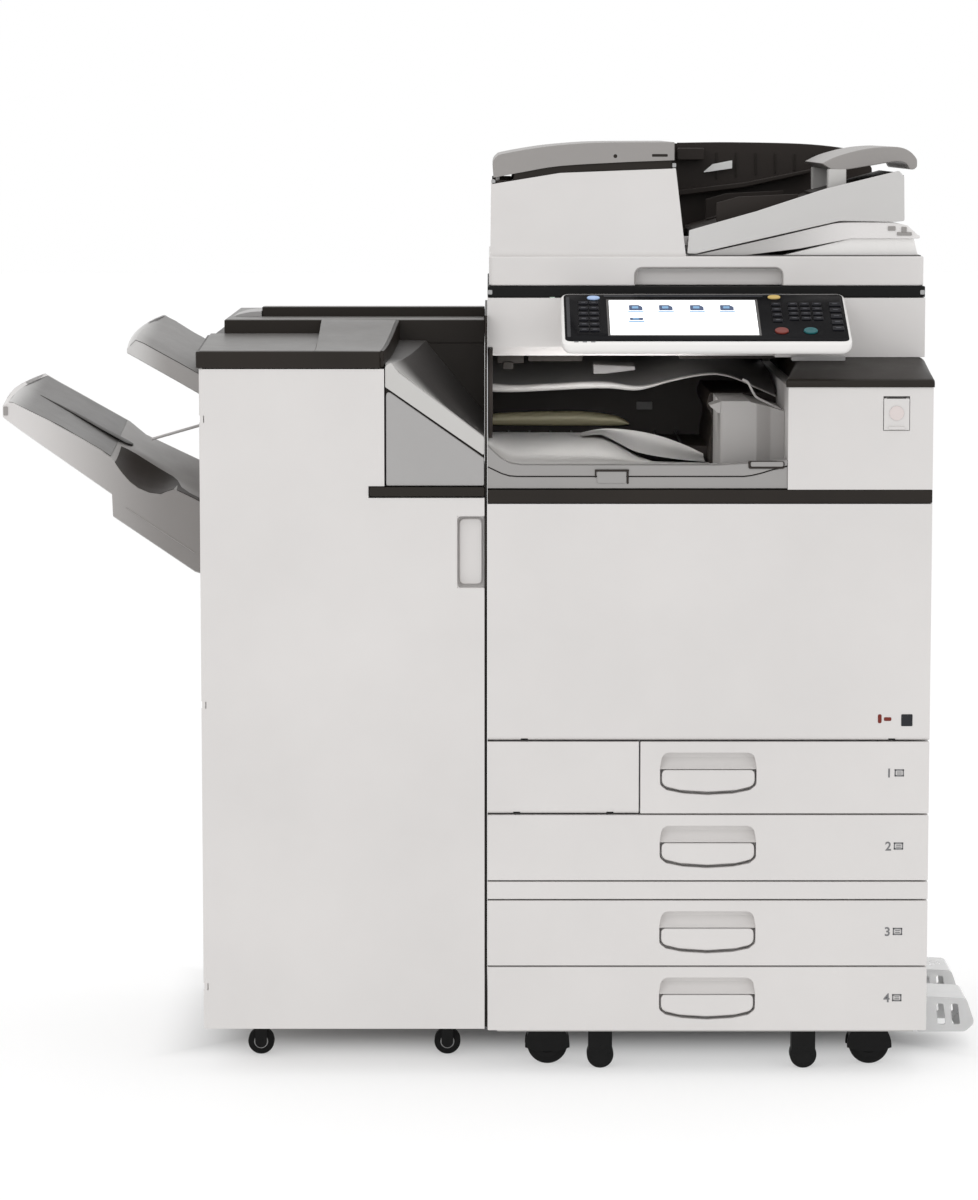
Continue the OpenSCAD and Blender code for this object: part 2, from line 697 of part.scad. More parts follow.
// A side guide that stands on the document tray
module guide(y) {
    profile_xz([[300, tray_z(300) + 0.6], [410, tray_z(410) + 0.6], [410, tray_z(410) + 12],
                [330, tray_z(330) + 30], [300, tray_z(300) + 30]], [y, y + 3]);
    profile_xz([[300, tray_z(300) + 0.6], [410, tray_z(410) + 0.6], [410, tray_z(410) + 2.6],
                [300, tray_z(300) + 2.6]], y < 0 ? [y, y + 30] : [y - 27, y + 3]);
}

module guide_front() color(mid_grey) guide(-125);

module guide_rear() color(mid_grey) guide(158);

module feed_roller() color(dark) {
    rod_y([-66, 66], roller_axis, roller_shaft);
    rod_y([-50, 50], roller_axis, roller_r);
}

module bypass_tray() color(white) difference() {
    union() {
        box3([581, 589], [-150, 170], [306, 470]);
        for (y = bypass_hinges) {
            rod_y([y, y + bypass_hinge_w], bypass_axis, 5);
            box3([bypass_axis[0] - 5, bypass_axis[0] + 5], [y, y + bypass_hinge_w], [306, 318]);
        }
    }
    for (y = bypass_hinges) {
        rod_y([y - 1, y + bypass_hinge_w + 1], bypass_axis, bypass_pin + run);
        box3([570, 600], [y + 8, y + 18], [298, 320]);
    }
}

// The fixed ears that the bypass flap turns on, part of the right cover
module bypass_ears() for (y = bypass_hinges) {
    rod_y([y, y + bypass_hinge_w], bypass_axis, bypass_pin);
    box3([body_right - wall, bypass_axis[0]], [y + 9, y + 17], [bypass_axis[1] - 2.4, bypass_axis[1] + 2.4]);
}

module caster_fork(i) color(dark) {
    fork(castor_x[i], castor_front_y, wheel_r, 11, floor_gap - 0.8);
    low = min(castor_x[i], castor_stem[i]) - 10;
    high = max(castor_x[i], castor_stem[i]) + 10;
    box3([low, high], [castor_front_y - 10, castor_front_y + 10], [floor_gap - 3.8, floor_gap - 0.8]);
    rod_z([floor_gap - 1, socket_top - 1], [castor_stem[i], castor_front_y], stem_r);
}

// A tyred wheel on an axle along Y
module wheel(x, y, r, half_w) difference() {
    rod_y([y - half_w, y + half_w], [x, r], r);
    rod_y([y - half_w - 1, y + half_w + 1], [x, r], axle_r + run);
    for (side = [-1, 1]) rod_y([y + side * half_w - 2, y + side * half_w + 2], [x, r], r * 0.6);
}

module main_wheel(i, y) color(dark) wheel(castor_x[i], y, wheel_r, 11);

module fin_wheel(i) color(dark) wheel(fin_wheel_x[i], fin_wheel_y[i], small_wheel_r, 9);

module finisher_shell() color(white) {
    box3([fin_x0, fin_x1], [fin_y0, fin_y1], [fin_bottom, fin_bottom + 5]);
    difference() {
        box3([fin_x0, fin_x0 + wall], [fin_y0, fin_y1], [fin_bottom, fin_door_top]);
        box3([fin_x0 - 1, fin_x0 + wall + 1], [-140, 160], [846, 866]);
        box3([fin_x0 - 1, fin_x0 + wall + 1], [-90, 150], [922, 936]);
    }
    box3([fin_x1 - wall, fin_x1], [fin_y0, fin_y1], [fin_bottom, fin_step_z]);
    box3([fin_step_x, fin_x1], [fin_y0, fin_y1], [fin_step_z - wall, fin_step_z]);
    box3([fin_step_x - wall, fin_step_x], [fin_y0, fin_y1], [fin_step_z - wall, fin_door_top]);
    box3([fin_x0, fin_step_x], [fin_y1 - wall, fin_y1], [fin_bottom, fin_door_top]);
    box3([fin_step_x, fin_x1], [fin_y1 - wall, fin_y1], [fin_bottom, fin_step_z]);
    box3([fin_x0 + 1, fin_x1 - 1], [-180, fin_y1 - 1], [580, 585]);
    // hinge lugs and rods of the door
    for (z = fin_lugs) {
        rod_z([z - 10, z + 10], fin_axis, hinge_rod);
        box3([fin_axis[0] - lug_half, fin_axis[0] + lug_half], [fin_axis[1], fin_y0 + 4], [z - 4, z + 4]);
    }
    // dark sensor arm above the lower tray
    translate([fin_x0, 0, 856]) rotate([0, -106, 0]) cylinder(h = 90, r = 2);
}

module finisher_door() color(white) difference() {
    union() {
        profile_xz([[fin_axis[0], fin_bottom], [fin_x1, fin_bottom], [fin_x1, ledge_z[0] - 2],
                    [ledge_x - ledge_gap, ledge_z[0] - 2], [ledge_x - ledge_gap, ledge_z[1] + ledge_gap],
                    [fin_step_x, ledge_z[1] + ledge_gap], [fin_step_x, fin_door_top],
                    [fin_axis[0], fin_door_top]], [front_y, front_y + front_t]);
        intersection() {
            rod_z([fin_bottom, fin_door_top], fin_axis, hinge_round);
            box3([fin_x0 - 1, fin_axis[0]], [front_y - 1, fin_axis[1]], [fin_bottom, fin_door_top]);
        }
        for (z = fin_lugs, side = [-1, 1]) {
            rod_z([z + side * 7.5 - 2.5, z + side * 7.5 + 2.5], fin_axis, hinge_round);
        }
    }
    difference() {
        profile_xz([[fin_x0 - 1, fin_bottom + wall], [fin_x1 - wall, fin_bottom + wall],
                    [fin_x1 - wall, ledge_z[0] - 2 - wall],
                    [ledge_x - ledge_gap - wall, ledge_z[0] - 2 - wall],
                    [ledge_x - ledge_gap - wall, ledge_z[1] + ledge_gap + wall],
                    [fin_step_x - wall, ledge_z[1] + ledge_gap + wall],
                    [fin_step_x - wall, fin_door_top - wall], [fin_x0 - 1, fin_door_top - wall]],
                   [front_y + wall, front_y + front_t + 1]);
        difference() {
            rod_z([fin_bottom, fin_door_top], fin_axis, hinge_round + 1);
            rod_z([fin_bottom - 1, fin_door_top + 1], fin_axis, hinge_round - wall);
        }
        for (z = fin_lugs, side = [-1, 1]) {
            rod_z([z + side * 7.5 - 2.5, z + side * 7.5 + 2.5], fin_axis, hinge_round);
            box3([fin_axis[0], fin_axis[0] + 12], [front_y, fin_axis[1] + hinge_round],
                 [z + side * 7.5 - 2.5, z + side * 7.5 + 2.5]);
        }
        // pocket behind the handle recess
        box3([-52, -10], [front_y, front_y + front_t - 1], [653, 756]);
    }
    for (z = fin_lugs) {
        rod_z([z - 11, z + 11], fin_axis, hinge_rod + run);
        box3([fin_x0 - 1, fin_axis[0] + 1], [front_y - 1, fin_axis[1] + 1], [z - 4.6, z + 4.6]);
        box3([fin_x0 - 1, fin_axis[0] + 9], [fin_axis[1] - 3, front_y + front_t + 1], [z - 4.6, z + 4.6]);
    }
    box3([-49, fin_x1 + 1], [front_y - 1, front_y + 16], [656.5, 752]);
}

module finisher_top() color(dark) {
    // front lid with its grey plate
    profile_yz([[front_y - 2, fin_door_top + 1], [-70, fin_door_top + 1], [-70, 982], [front_y - 2, 971]],
               [fin_x0 - 4, fin_step_x]);
    box3([fin_x0 + 21, fin_step_x], [-70, fin_y1 + 2], [fin_door_top + 1, 1000]);
    box3([fin_step_x, fin_x1], [-70, fin_y1 + 2], [968, 1000]);
    box3([-321, fin_x1], [20, 50], [1000, 1014]);
    box3([fin_x0, fin_x0 + 21], [-70, fin_y1 + 2], [fin_door_top + 1, 976]);
    // ledge over the lower door
    box3([ledge_x, fin_x1], [front_y - 2, fin_y0], ledge_z);
}

module finisher_bridge() color(light_grey) difference() {
    profile_xz([[fin_step_x + 1, ledge_z[1]], [fin_x1, ledge_z[1]], [fin_x1, 857], [fin_step_x + 4, 962],
                [fin_step_x + 1, 962]], [front_y, fin_y1 - 4]);
    // scooped hollow behind the sloping rim
    profile_xz([[fin_step_x + 16, 972], [fin_step_x + 20, 925], [fin_x1 + 1, 828], [fin_x1 + 1, 972]],
               [front_y + 26, -72]);
    profile_xz([[fin_step_x + 16, 967], [fin_step_x + 20, 925], [fin_x1 + 1, 828], [fin_x1 + 1, 967]],
               [-73, fin_y1 - 20]);
}

module upper_tray() color(light_grey)
    profile_xz([[-499, 955], [-488, 975], [fin_x0 - 0.5, 918], [fin_x0 - 0.5, 892], [-402, 896],
                [-416, 904]], [-100, 170]);

module lower_tray() color(light_grey) difference() {
    profile_xz([[-663, 871], [-649, 894], [-520, 832], [-500, 826], [-404, 809], [-394, 790], [-394, 660],
                [-402, 660], [-515, 738], [-515, 766]], [-170, 110]);
    // hollow underside
    profile_xz([[-640, 874], [-520, 822], [-500, 816], [-408, 800], [-408, 655], [-500, 700], [-505, 770]],
               [-164, 104]);
}

chassis();
side_covers();
rear_cover();
front_strip();
dark_trims();
toner_bottles();
imaging_unit();
exit_tray();
bridge_unit();
right_box();
stapler_unit();
scanner_body();
exposure_glass();
stabilisers();
caster_brackets();
front_door();
waste_cover();
drawer_front(0);  // drawer_1_front
drawer_front(1);  // drawer_2_front
drawer_front(2);  // drawer_3_front
drawer_front(3);  // drawer_4_front
drawer_tray(0);  // drawer_1_tray
drawer_tray(1);  // drawer_2_tray
drawer_tray(2);  // drawer_3_tray
drawer_tray(3);  // drawer_4_tray
panel_housing();
panel_glass();
lcd_screen();
panel_keys();
start_key();
stop_key();
power_cover();
power_switch();
lamp_carriage();
mirror_carriage();
feeder_base();
feeder_body();
feeder_cover();
feeder_tray();
tray_extension();
guide_front();
guide_rear();
feed_roller();
bypass_tray();
caster_fork(0);  // caster_fork_left
caster_fork(1);  // caster_fork_right
main_wheel(0, castor_front_y);  // wheel_front_left
main_wheel(1, castor_front_y);  // wheel_front_right
main_wheel(0, castor_rear_y);  // wheel_rear_left
main_wheel(1, castor_rear_y);  // wheel_rear_right
finisher_shell();
finisher_door();
finisher_top();
finisher_bridge();
upper_tray();
lower_tray();
fin_wheel(0);  // finisher_wheel_1
fin_wheel(1);  // finisher_wheel_2
fin_wheel(2);  // finisher_wheel_3
fin_wheel(3);  // finisher_wheel_4
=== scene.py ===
"""Looks of the photocopier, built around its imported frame. Drawn in millimetres of the row frame."""
import math

import bmesh
import bpy
from mathutils import Matrix, Vector


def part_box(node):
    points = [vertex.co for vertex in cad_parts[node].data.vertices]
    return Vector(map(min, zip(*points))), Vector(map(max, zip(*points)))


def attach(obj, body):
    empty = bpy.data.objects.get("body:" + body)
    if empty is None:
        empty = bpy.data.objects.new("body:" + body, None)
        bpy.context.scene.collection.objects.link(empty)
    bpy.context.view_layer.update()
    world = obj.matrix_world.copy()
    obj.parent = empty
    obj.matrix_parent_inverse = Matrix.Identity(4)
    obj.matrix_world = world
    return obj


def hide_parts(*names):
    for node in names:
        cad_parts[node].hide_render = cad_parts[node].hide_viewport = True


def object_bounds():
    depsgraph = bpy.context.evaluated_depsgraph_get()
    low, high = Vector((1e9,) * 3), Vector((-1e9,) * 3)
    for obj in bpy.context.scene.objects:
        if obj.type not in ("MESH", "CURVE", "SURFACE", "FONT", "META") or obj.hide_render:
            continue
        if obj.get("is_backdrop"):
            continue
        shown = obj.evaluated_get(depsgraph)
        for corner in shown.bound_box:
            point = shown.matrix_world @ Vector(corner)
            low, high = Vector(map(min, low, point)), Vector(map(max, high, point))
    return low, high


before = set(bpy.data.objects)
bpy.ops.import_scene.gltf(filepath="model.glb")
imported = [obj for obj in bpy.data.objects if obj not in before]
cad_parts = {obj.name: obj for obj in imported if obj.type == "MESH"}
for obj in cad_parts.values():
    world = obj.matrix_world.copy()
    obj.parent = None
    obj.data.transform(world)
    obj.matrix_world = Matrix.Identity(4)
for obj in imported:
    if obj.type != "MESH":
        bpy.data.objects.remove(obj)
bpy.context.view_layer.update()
MM = 0.001
SAME_PLACE = 0.00012  # metres a node may differ from DRAWN and still count as unmoved
SHARP = 32  # degrees between faces from which an edge is rounded

# The low corner that each node had when the pieces around it were drawn.
# A piece follows its node if that moves.
DRAWN = {
    "exit_tray": (-9, -298, 787),
    "right_box": (387, -300, 787),
    "scanner_body": (-9, -207.5, 955),
    "panel_housing": (88.5, -341.5, 963.3),
    "feeder_base": (-7, -178, 1051.2),
    "feeder_body": (-5, -172, 1090),
    "feeder_cover": (-2, -172, 1194.5),
    "feeder_tray": (260, -170, 1100),
    "tray_extension": (440, -150, 1169.4),
    "finisher_top": (-393, -302, 778),
    "finisher_bridge": (-144, -300, 790.5),
    "finisher_door": (-389, -300, 63),
    "finisher_shell": (-476.1, -296.5, 63),
    "upper_tray": (-499, -100, 892),
    "lower_tray": (-663, -170, 660),
    "rear_cover": (-9, 312, 60),
    "side_covers": (-9, -276, 60),
    "front_door": (-9, -300, 453),
    "stabilisers": (500, -130, 22),
    "caster_brackets": (-333, -260, 0),
    "caster_fork_left": (48, -236.5, 19.5),
    "caster_fork_right": (494, -236.5, 19.5),
    "toner_bottles": (42, -282, 674),
    "imaging_unit": (60, -280, 492),
    "lamp_carriage": (62, -165, 980),
    "bypass_tray": (579, -150, 301),
    "power_cover": (512.8, -303, 865.8),
}


# ---------------------------------------------------------------- camera and light
cam_data = bpy.data.cameras.new("camera")
cam_data.sensor_width = 36
cam_data.lens = 125.55
camera = bpy.data.objects.new("camera", cam_data)
camera.location = (-0.007, -5.800, 1.2672)
camera.rotation_euler = (math.radians(83.5), 0, 0)
bpy.context.scene.collection.objects.link(camera)
bpy.context.scene.camera = camera
bpy.context.scene.view_settings.view_transform = "Standard"

world = bpy.data.worlds.new("studio")
bpy.context.scene.world = world
world.use_nodes = True
backdrop = world.node_tree.nodes["Background"]
backdrop.inputs["Color"].default_value = (1.0, 1.0, 1.0, 1)
backdrop.inputs["Strength"].default_value = 1.0


def lamp(name, place, aim, size, power, depth=None):
    data = bpy.data.lights.new(name, "AREA")
    data.size = size
    if depth:
        data.shape, data.size_y = "RECTANGLE", depth
    data.energy = power
    ob = bpy.data.objects.new(name, data)
    ob.location = place
    ob.rotation_euler = (Vector(aim) - Vector(place)).to_track_quat("-Z", "Y").to_euler()
    bpy.context.scene.collection.objects.link(ob)


lamp("key", (-2.6, -4.2, 3.6), (0, 0, 0.7), 2.4, 26)
lamp("fill", (3.4, -3.6, 2.2), (0, 0, 0.6), 2.4, 6)
lamp("top", (0.2, 0.6, 4.2), (0, 0, 0.8), 3.0, 16)
lamp("bay", (0.15, -0.2, 0.918), (0.13, 0.08, 0.825), 0.26, 0.2, 0.03)


# ---------------------------------------------------------------- materials
def node(tree, kind, **values):
    made = tree.nodes.new(kind)
    for key, value in values.items():
        if key in made.inputs:
            made.inputs[key].default_value = value
        else:
            setattr(made, key, value)
    return made


def plastic(name, colour, rough=0.45, vary=0.035, grain=0.12, scale=900, stretch=(1, 1, 1), spread=0.08,
    fade=None,
    **shader):
    """A moulded surface: a slow drift of tint, a fine spark-eroded grain and a patchy sheen.

    fade is (axis, from, to, colour): the tint turns to that colour between two places along an axis. On the
    trays, the output deck and the bridge hollow this paints shade and highlight into the colour.
    """
    mat = bpy.data.materials.new(name)
    mat.use_nodes = True
    tree = mat.node_tree
    link = tree.links.new
    bsdf = tree.nodes["Principled BSDF"]
    for key, value in shader.items():
        bsdf.inputs[key.replace("_", " ")].default_value = value
    place = node(tree, "ShaderNodeTexCoord")
    squeeze = node(tree, "ShaderNodeMapping", Scale=stretch)
    link(place.outputs["Object"], squeeze.inputs["Vector"])
    drift = node(tree, "ShaderNodeTexNoise", Scale=3.2, Detail=4.0, Roughness=0.6)
    link(place.outputs["Object"], drift.inputs["Vector"])
    tint = node(tree, "ShaderNodeValToRGB")
    for stop, level in zip(tint.color_ramp.elements, (1 - vary, 1 + vary)):
        stop.color = (*[min(1, c * level) for c in colour], 1)
    tint.color_ramp.elements[0].position = 0.3
    tint.color_ramp.elements[1].position = 0.7
    link(drift.outputs["Fac"], tint.inputs["Fac"])
    link(tint.outputs["Color"], bsdf.inputs["Base Color"])
    if fade:
        axis, start, end, other = fade
        parts = node(tree, "ShaderNodeSeparateXYZ")
        link(place.outputs["Object"], parts.inputs["Vector"])
        way = node(tree, "ShaderNodeMapRange", interpolation_type="SMOOTHSTEP")
        way.inputs["From Min"].default_value, way.inputs["From Max"].default_value = start, end
        link(parts.outputs[axis], way.inputs["Value"])
        blend = node(tree, "ShaderNodeMix", data_type="RGBA")
        blend.inputs[7].default_value = (*other, 1)
        link(way.outputs["Result"], blend.inputs[0])
        link(tint.outputs["Color"], blend.inputs[6])
        link(blend.outputs[2], bsdf.inputs["Base Color"])
    patch = node(tree, "ShaderNodeTexNoise", Scale=26.0, Detail=5.0, Roughness=0.65)
    link(squeeze.outputs["Vector"], patch.inputs["Vector"])
    sheen = node(tree, "ShaderNodeMapRange")
    sheen.inputs["To Min"].default_value = max(0.02, rough - spread)
    sheen.inputs["To Max"].default_value = min(1, rough + spread)
    link(patch.outputs["Fac"], sheen.inputs["Value"])
    link(sheen.outputs["Result"], bsdf.inputs["Roughness"])
    fine = node(tree, "ShaderNodeTexNoise", Scale=scale, Detail=2.0, Roughness=0.5)
    link(squeeze.outputs["Vector"], fine.inputs["Vector"])
    bump = node(tree, "ShaderNodeBump", Strength=grain, Distance=0.0004)
    link(fine.outputs["Fac"], bump.inputs["Height"])
    link(bump.outputs["Normal"], bsdf.inputs["Normal"])
    return mat


WHITE = plastic("shell_white", (0.648, 0.628, 0.616), 0.42)
PALE = plastic("pale_grey", (0.52, 0.51, 0.495), 0.46)
LIGHT = plastic("tray_grey", (0.55, 0.54, 0.53), 0.4)
# Shift tray: the side is light at the tip and darker towards the finisher, partly its own tone and partly
# painted shade; the light tip of the dark top is a painted highlight.
TRAY = plastic("shift_tray_grey_and_painted_shade", (0.62, 0.60, 0.59), 0.4, fade=("X", -0.67, -0.43, (0.23, 0.217, 0.209)))
TRAYTOP = plastic("shift_tray_dark_with_painted_tip_highlight", (0.60, 0.59, 0.58), 0.36,
    fade=("X", -0.665, -0.625, (0.10, 0.094, 0.090)))
# Proof tray: lighter at the tip and darker towards the finisher, partly its own tone and partly painted
# shade; the light tip of the top is a painted highlight.
PROOF = plastic("proof_tray_grey_and_painted_shade", (0.60, 0.59, 0.58), 0.4, fade=("X", -0.50, -0.44, (0.33, 0.315, 0.305)))
PROOFTOP = plastic("proof_tray_dark_with_painted_tip_highlight", (0.50, 0.49, 0.48), 0.38,
    fade=("X", -0.50, -0.465, (0.15, 0.142, 0.136)))
BAY = plastic("bay_grey", (0.60, 0.586, 0.57), 0.42)
SILL = plastic("sill_grey", (0.30, 0.29, 0.283), 0.42)
POST = plastic("pillar_grey", (0.40, 0.385, 0.375), 0.42)
# Output deck: darker to the left and lighter towards its right end, partly its own tone and partly painted
# shade.
DECK = plastic("output_grey_and_painted_shade", (0.42, 0.41, 0.40), 0.42, fade=("X", 0.33, 0.50, (0.72, 0.70, 0.69)))
# A brighter copy of the white; on the output riser it is painted light.
PANEL = plastic("panel_white", (0.79, 0.775, 0.76), 0.42)
LID = plastic("lid_grey", (0.13, 0.124, 0.119), 0.4)
SILVER = plastic("bridge_grey", (0.36, 0.352, 0.348), 0.45)
# Bridge hollow: pale at the front and near black towards the back, partly its own dark tone and partly
# painted shade under the lid.
HOLLOW = plastic("hollow_grey_and_painted_shade", (0.44, 0.43, 0.42), 0.45, fade=("Y", -0.292, -0.205, (0.060, 0.056, 0.054)))
MID = plastic("warm_grey", (0.285, 0.270, 0.260), 0.42)
SLATE = plastic("slate_grey", (0.085, 0.080, 0.078), 0.4)
DARK = plastic("brown_black", (0.019, 0.015, 0.012), 0.4, vary=0.2, Specular_IOR_Level=0.2)
JET = plastic("jet_black", (0.006, 0.006, 0.006), 0.5, vary=0.2, Specular_IOR_Level=0.15)
BROWN = plastic("dark_brown", (0.026, 0.020, 0.017), 0.5, vary=0.15, Specular_IOR_Level=0.25)
GLOSS = plastic("panel_black", (0.004, 0.004, 0.005), 0.2, vary=0.3, grain=0.02, spread=0.06,
    Specular_IOR_Level=0.03)
KEYCAP = plastic("keycap", (0.016, 0.017, 0.021), 0.35, vary=0.15, grain=0.06, Specular_IOR_Level=0.25)
KEYTOP = plastic("panel_key", (0.009, 0.009, 0.012), 0.4, vary=0.15, grain=0.06, Specular_IOR_Level=0.1)
KEYMARK = plastic("key_print", (0.07, 0.075, 0.09), 0.5)
LCD = plastic(
    "lcd", (0.95, 0.97, 0.98), 0.25, 0.01, 0.01, Emission_Color=(0.97, 0.985, 1.0, 1),
    Emission_Strength=0.75
)
ICON = plastic("icon_ink", (0.055, 0.085, 0.17), 0.4, 0.2)
ICON_PALE = plastic("icon_pale", (0.22, 0.42, 0.66), 0.4, 0.2)
TEAL = plastic("teal_key", (0.006, 0.10, 0.11), 0.3, 0.15, 0.04, Specular_IOR_Level=0.25)
RED = plastic("red_key", (0.16, 0.022, 0.014), 0.3, 0.15, 0.04, Specular_IOR_Level=0.25)
AMBER = plastic("amber_key", (0.62, 0.44, 0.14), 0.35, 0.1, 0.04)
SKY = plastic("sky_key", (0.38, 0.52, 0.78), 0.3, 0.08, 0.04)
BLUSH = plastic("blush_lens", (0.66, 0.59, 0.575), 0.3, 0.05, 0.04)
BRASS = plastic(
    "brass_strip", (0.80, 0.72, 0.47), 0.36, 0.08, 0.05, stretch=(1, 30, 30), Metallic=0.1
)
STEEL = plastic("zinc_steel", (0.50, 0.50, 0.50), 0.38, 0.1, 0.1, 300, stretch=(1, 1, 12), Metallic=0.9)
RUBBER = plastic("rubber", (0.008, 0.008, 0.008), 0.75, 0.2, 0.3, 500, Specular_IOR_Level=0.15)
HUB = plastic("hub_grey", (0.36, 0.36, 0.36), 0.45)
PAPER = plastic("paper", (0.84, 0.84, 0.82), 0.8, 0.03, 0.5, 40, stretch=(1, 1, 90))
FOAM = plastic("platen_foam", (0.86, 0.86, 0.85), 0.7, 0.02, 0.25, 350)
INK = plastic("print_ink", (0.16, 0.16, 0.165), 0.6, 0.15)
SKIRT = plastic("clear_skirt", (0.80, 0.80, 0.80), 0.25, 0.03, 0.05, Transmission_Weight=0.3, IOR=1.46)
CLEAR = plastic("platen_glass", (0.80, 0.88, 0.87), 0.05, 0.02, 0.0, spread=0.02,
    Transmission_Weight=0.85, IOR=1.5)
TUBE = plastic(
    "lamp_tube", (0.9, 0.95, 0.9), 0.3, 0.02, 0.02, Emission_Color=(0.8, 1.0, 0.85, 1),
    Emission_Strength=0.6
)
CYAN = plastic("cyan_cap", (0.03, 0.28, 0.42), 0.4, 0.1)
MAGENTA = plastic("magenta_cap", (0.42, 0.04, 0.16), 0.4, 0.1)
YELLOW = plastic("yellow_cap", (0.62, 0.48, 0.05), 0.4, 0.1)


# ---------------------------------------------------------------- outlines
def full_turn(count):
    return [2 * math.pi * k / count for k in range(count)]


def degrees(start, end, step):
    return [math.radians(d) for d in range(start, end, step)]


def rounded(points, radius, steps=6):
    """An outline with its corners rounded; radius is one number, or one for each corner."""
    radii = radius if isinstance(radius, (list, tuple)) else [radius] * len(points)
    out = []
    for i, (here, r) in enumerate(zip(points, radii)):
        here = Vector(here)
        back, on = Vector(points[i - 1]) - here, Vector(points[(i + 1) % len(points)]) - here
        reach = r / math.tan(max(0.05, back.angle(on) / 2)) if r else 0
        reach = min(reach, back.length * 0.49, on.length * 0.49)
        if reach < 0.02:
            out.append(tuple(here))
            continue
        start, end = here + back.normalized() * reach, here + on.normalized() * reach
        for k in range(steps + 1):
            t = k / steps
            out.append(tuple(start * (1 - t) ** 2 + here * (2 * t * (1 - t)) + end * t**2))
    return out


def rect(x, y, radius, steps=6):
    """A rounded rectangle from its limits, going round from its low corner."""
    return rounded([(x[0], y[0]), (x[1], y[0]), (x[1], y[1]), (x[0], y[1])], radius, steps)


def smooth(points, steps=6):
    """A Catmull-Rom curve through points of any size."""
    pts = [Vector(p) for p in points]
    pts = [2 * pts[0] - pts[1], *pts, 2 * pts[-1] - pts[-2]]
    out = []
    for a, b, c, d in zip(pts, pts[1:], pts[2:], pts[3:]):
        for k in range(steps):
            t = k / steps
            curve = 2 * b + (c - a) * t + (2 * a - 5 * b + 4 * c - d) * t**2
            out.append(tuple(0.5 * (curve + (3 * b - a - 3 * c + d) * t**3)))
    out.append(tuple(pts[-2]))
    return out


def level(table, x):
    """The value at x of a table of (x, value), straight between its rows."""
    if x <= table[0][0]:
        return table[0][1]
    for (x0, v0), (x1, v1) in zip(table, table[1:]):
        if x <= x1:
            return v0 + (v1 - v0) * (x - x0) / (x1 - x0)
    return table[-1][1]


# ---------------------------------------------------------------- building pieces
class Part:
    """One piece, collected from closed shells drawn in millimetres; it moves with the node it is drawn at."""

    def __init__(self, name, at=None, turn=None):
        self.name = name
        self.bm = bmesh.new()
        self.tools = []
        self.turn = turn or Matrix.Identity(4)
        self.shift = Vector((0, 0, 0))
        if at:
            self.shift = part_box(at)[0] - Vector(DRAWN[at]) * MM
            self.shift = Vector([0 if abs(s) < SAME_PLACE else s for s in self.shift])

    def verts(self, points):
        return [self.bm.verts.new((self.turn @ Vector(p)) * MM + self.shift) for p in points]

    def loft(self, rings, close=False):
        """Skins a row of rings with the same number of points, and caps its ends."""
        made = [self.verts(ring) for ring in rings]
        count = len(made[0])
        pairs = list(zip(made, made[1:] + ([made[0]] if close else [])))
        for low, high in pairs[: len(made) - (0 if close else 1)]:
            for i in range(count):
                self.bm.faces.new((low[i], low[(i + 1) % count], high[(i + 1) % count], high[i]))
        if not close:
            self.bm.faces.new(made[0][::-1])
            self.bm.faces.new(made[-1])
        return self

    def prism(self, outline, axis, lo, hi):
        """An outline drawn out along an axis; it is (y, z), (x, z) or (x, y)."""
        def put(p, t):
            return {"x": (t, *p), "y": (p[0], t, p[1]), "z": (*p, t)}[axis]

        return self.loft([[put(p, t) for p in outline] for t in (lo, hi)])

    def box(self, x, y, z, radius=0.0):
        """A block, with its edges along Y rounded if a radius is given."""
        return self.prism(rect(x, z, radius), "y", *y)

    def lathe(self, axis, at, profile, count=40):
        """A turned shape: profile is (along the axis, radius), at is the axis's place."""
        def put(t, r, a):
            u, v = at[0] + r * math.cos(a), at[1] + r * math.sin(a)
            return {"x": (t, u, v), "y": (u, t, v), "z": (u, v, t)}[axis]

        angles = full_turn(count)
        return self.loft([[put(t, r, a) for a in angles] for t, r in profile])

    def rod(self, axis, lo, hi, at, r, count=32):
        return self.lathe(axis, at, [(lo, r), (hi, r)], count)

    def tube(self, path, r, count=12):
        """A round rod along a path of (x, y, z)."""
        path = [Vector(p) for p in path]
        rings = []
        for i, here in enumerate(path):
            way = (path[min(i + 1, len(path) - 1)] - path[max(i - 1, 0)]).normalized()
            side = way.cross(Vector((0, 0, 1)) if abs(way.z) < 0.9 else Vector((0, 1, 0))).normalized()
            up = side.cross(way)
            turns = full_turn(count)
            rings.append([here + side * (r * math.cos(a)) + up * (r * math.sin(a)) for a in turns])
        return self.loft(rings)

    def cut(self, *tools):
        self.tools += tools
        return self

    def mesh_object(self):
        bmesh.ops.recalc_face_normals(self.bm, faces=self.bm.faces)
        mesh = bpy.data.meshes.new(self.name)
        self.bm.to_mesh(mesh)
        self.bm.free()
        ob = bpy.data.objects.new(self.name, mesh)
        bpy.context.scene.collection.objects.link(ob)
        return ob

    def done(self, mat, bevel=0.8, body="root", replaces=(), slot=None, segments=3, angle=SHARP):
        """Makes the piece: cuts, rounded edges, smooth shading, its material and its body. The slot argument
        is not used.
        """
        ob = self.mesh_object()
        for tool in self.tools:
            cutter = tool.mesh_object()
            step = ob.modifiers.new("cut", "BOOLEAN")
            step.object, step.solver = cutter, "EXACT"
            graph = bpy.context.evaluated_depsgraph_get()
            mesh = bpy.data.meshes.new_from_object(ob.evaluated_get(graph))
            ob.modifiers.clear()
            ob.data = mesh
            bpy.data.objects.remove(cutter)
        ob.data.materials.clear()
        ob.data.materials.append(mat)
        ease(ob, bevel, segments, angle)
        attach(ob, body)
        if replaces:
            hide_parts(*replaces)
        return ob


def blocks(name, at, mat, bevel, *limits, body="root", replaces=()):
    """A piece made of blocks only, each given by its x, y and z limits and perhaps a radius."""
    piece = Part(name, at)
    for block in limits:
        piece.box(*block)
    return piece.done(mat, bevel, body, replaces)


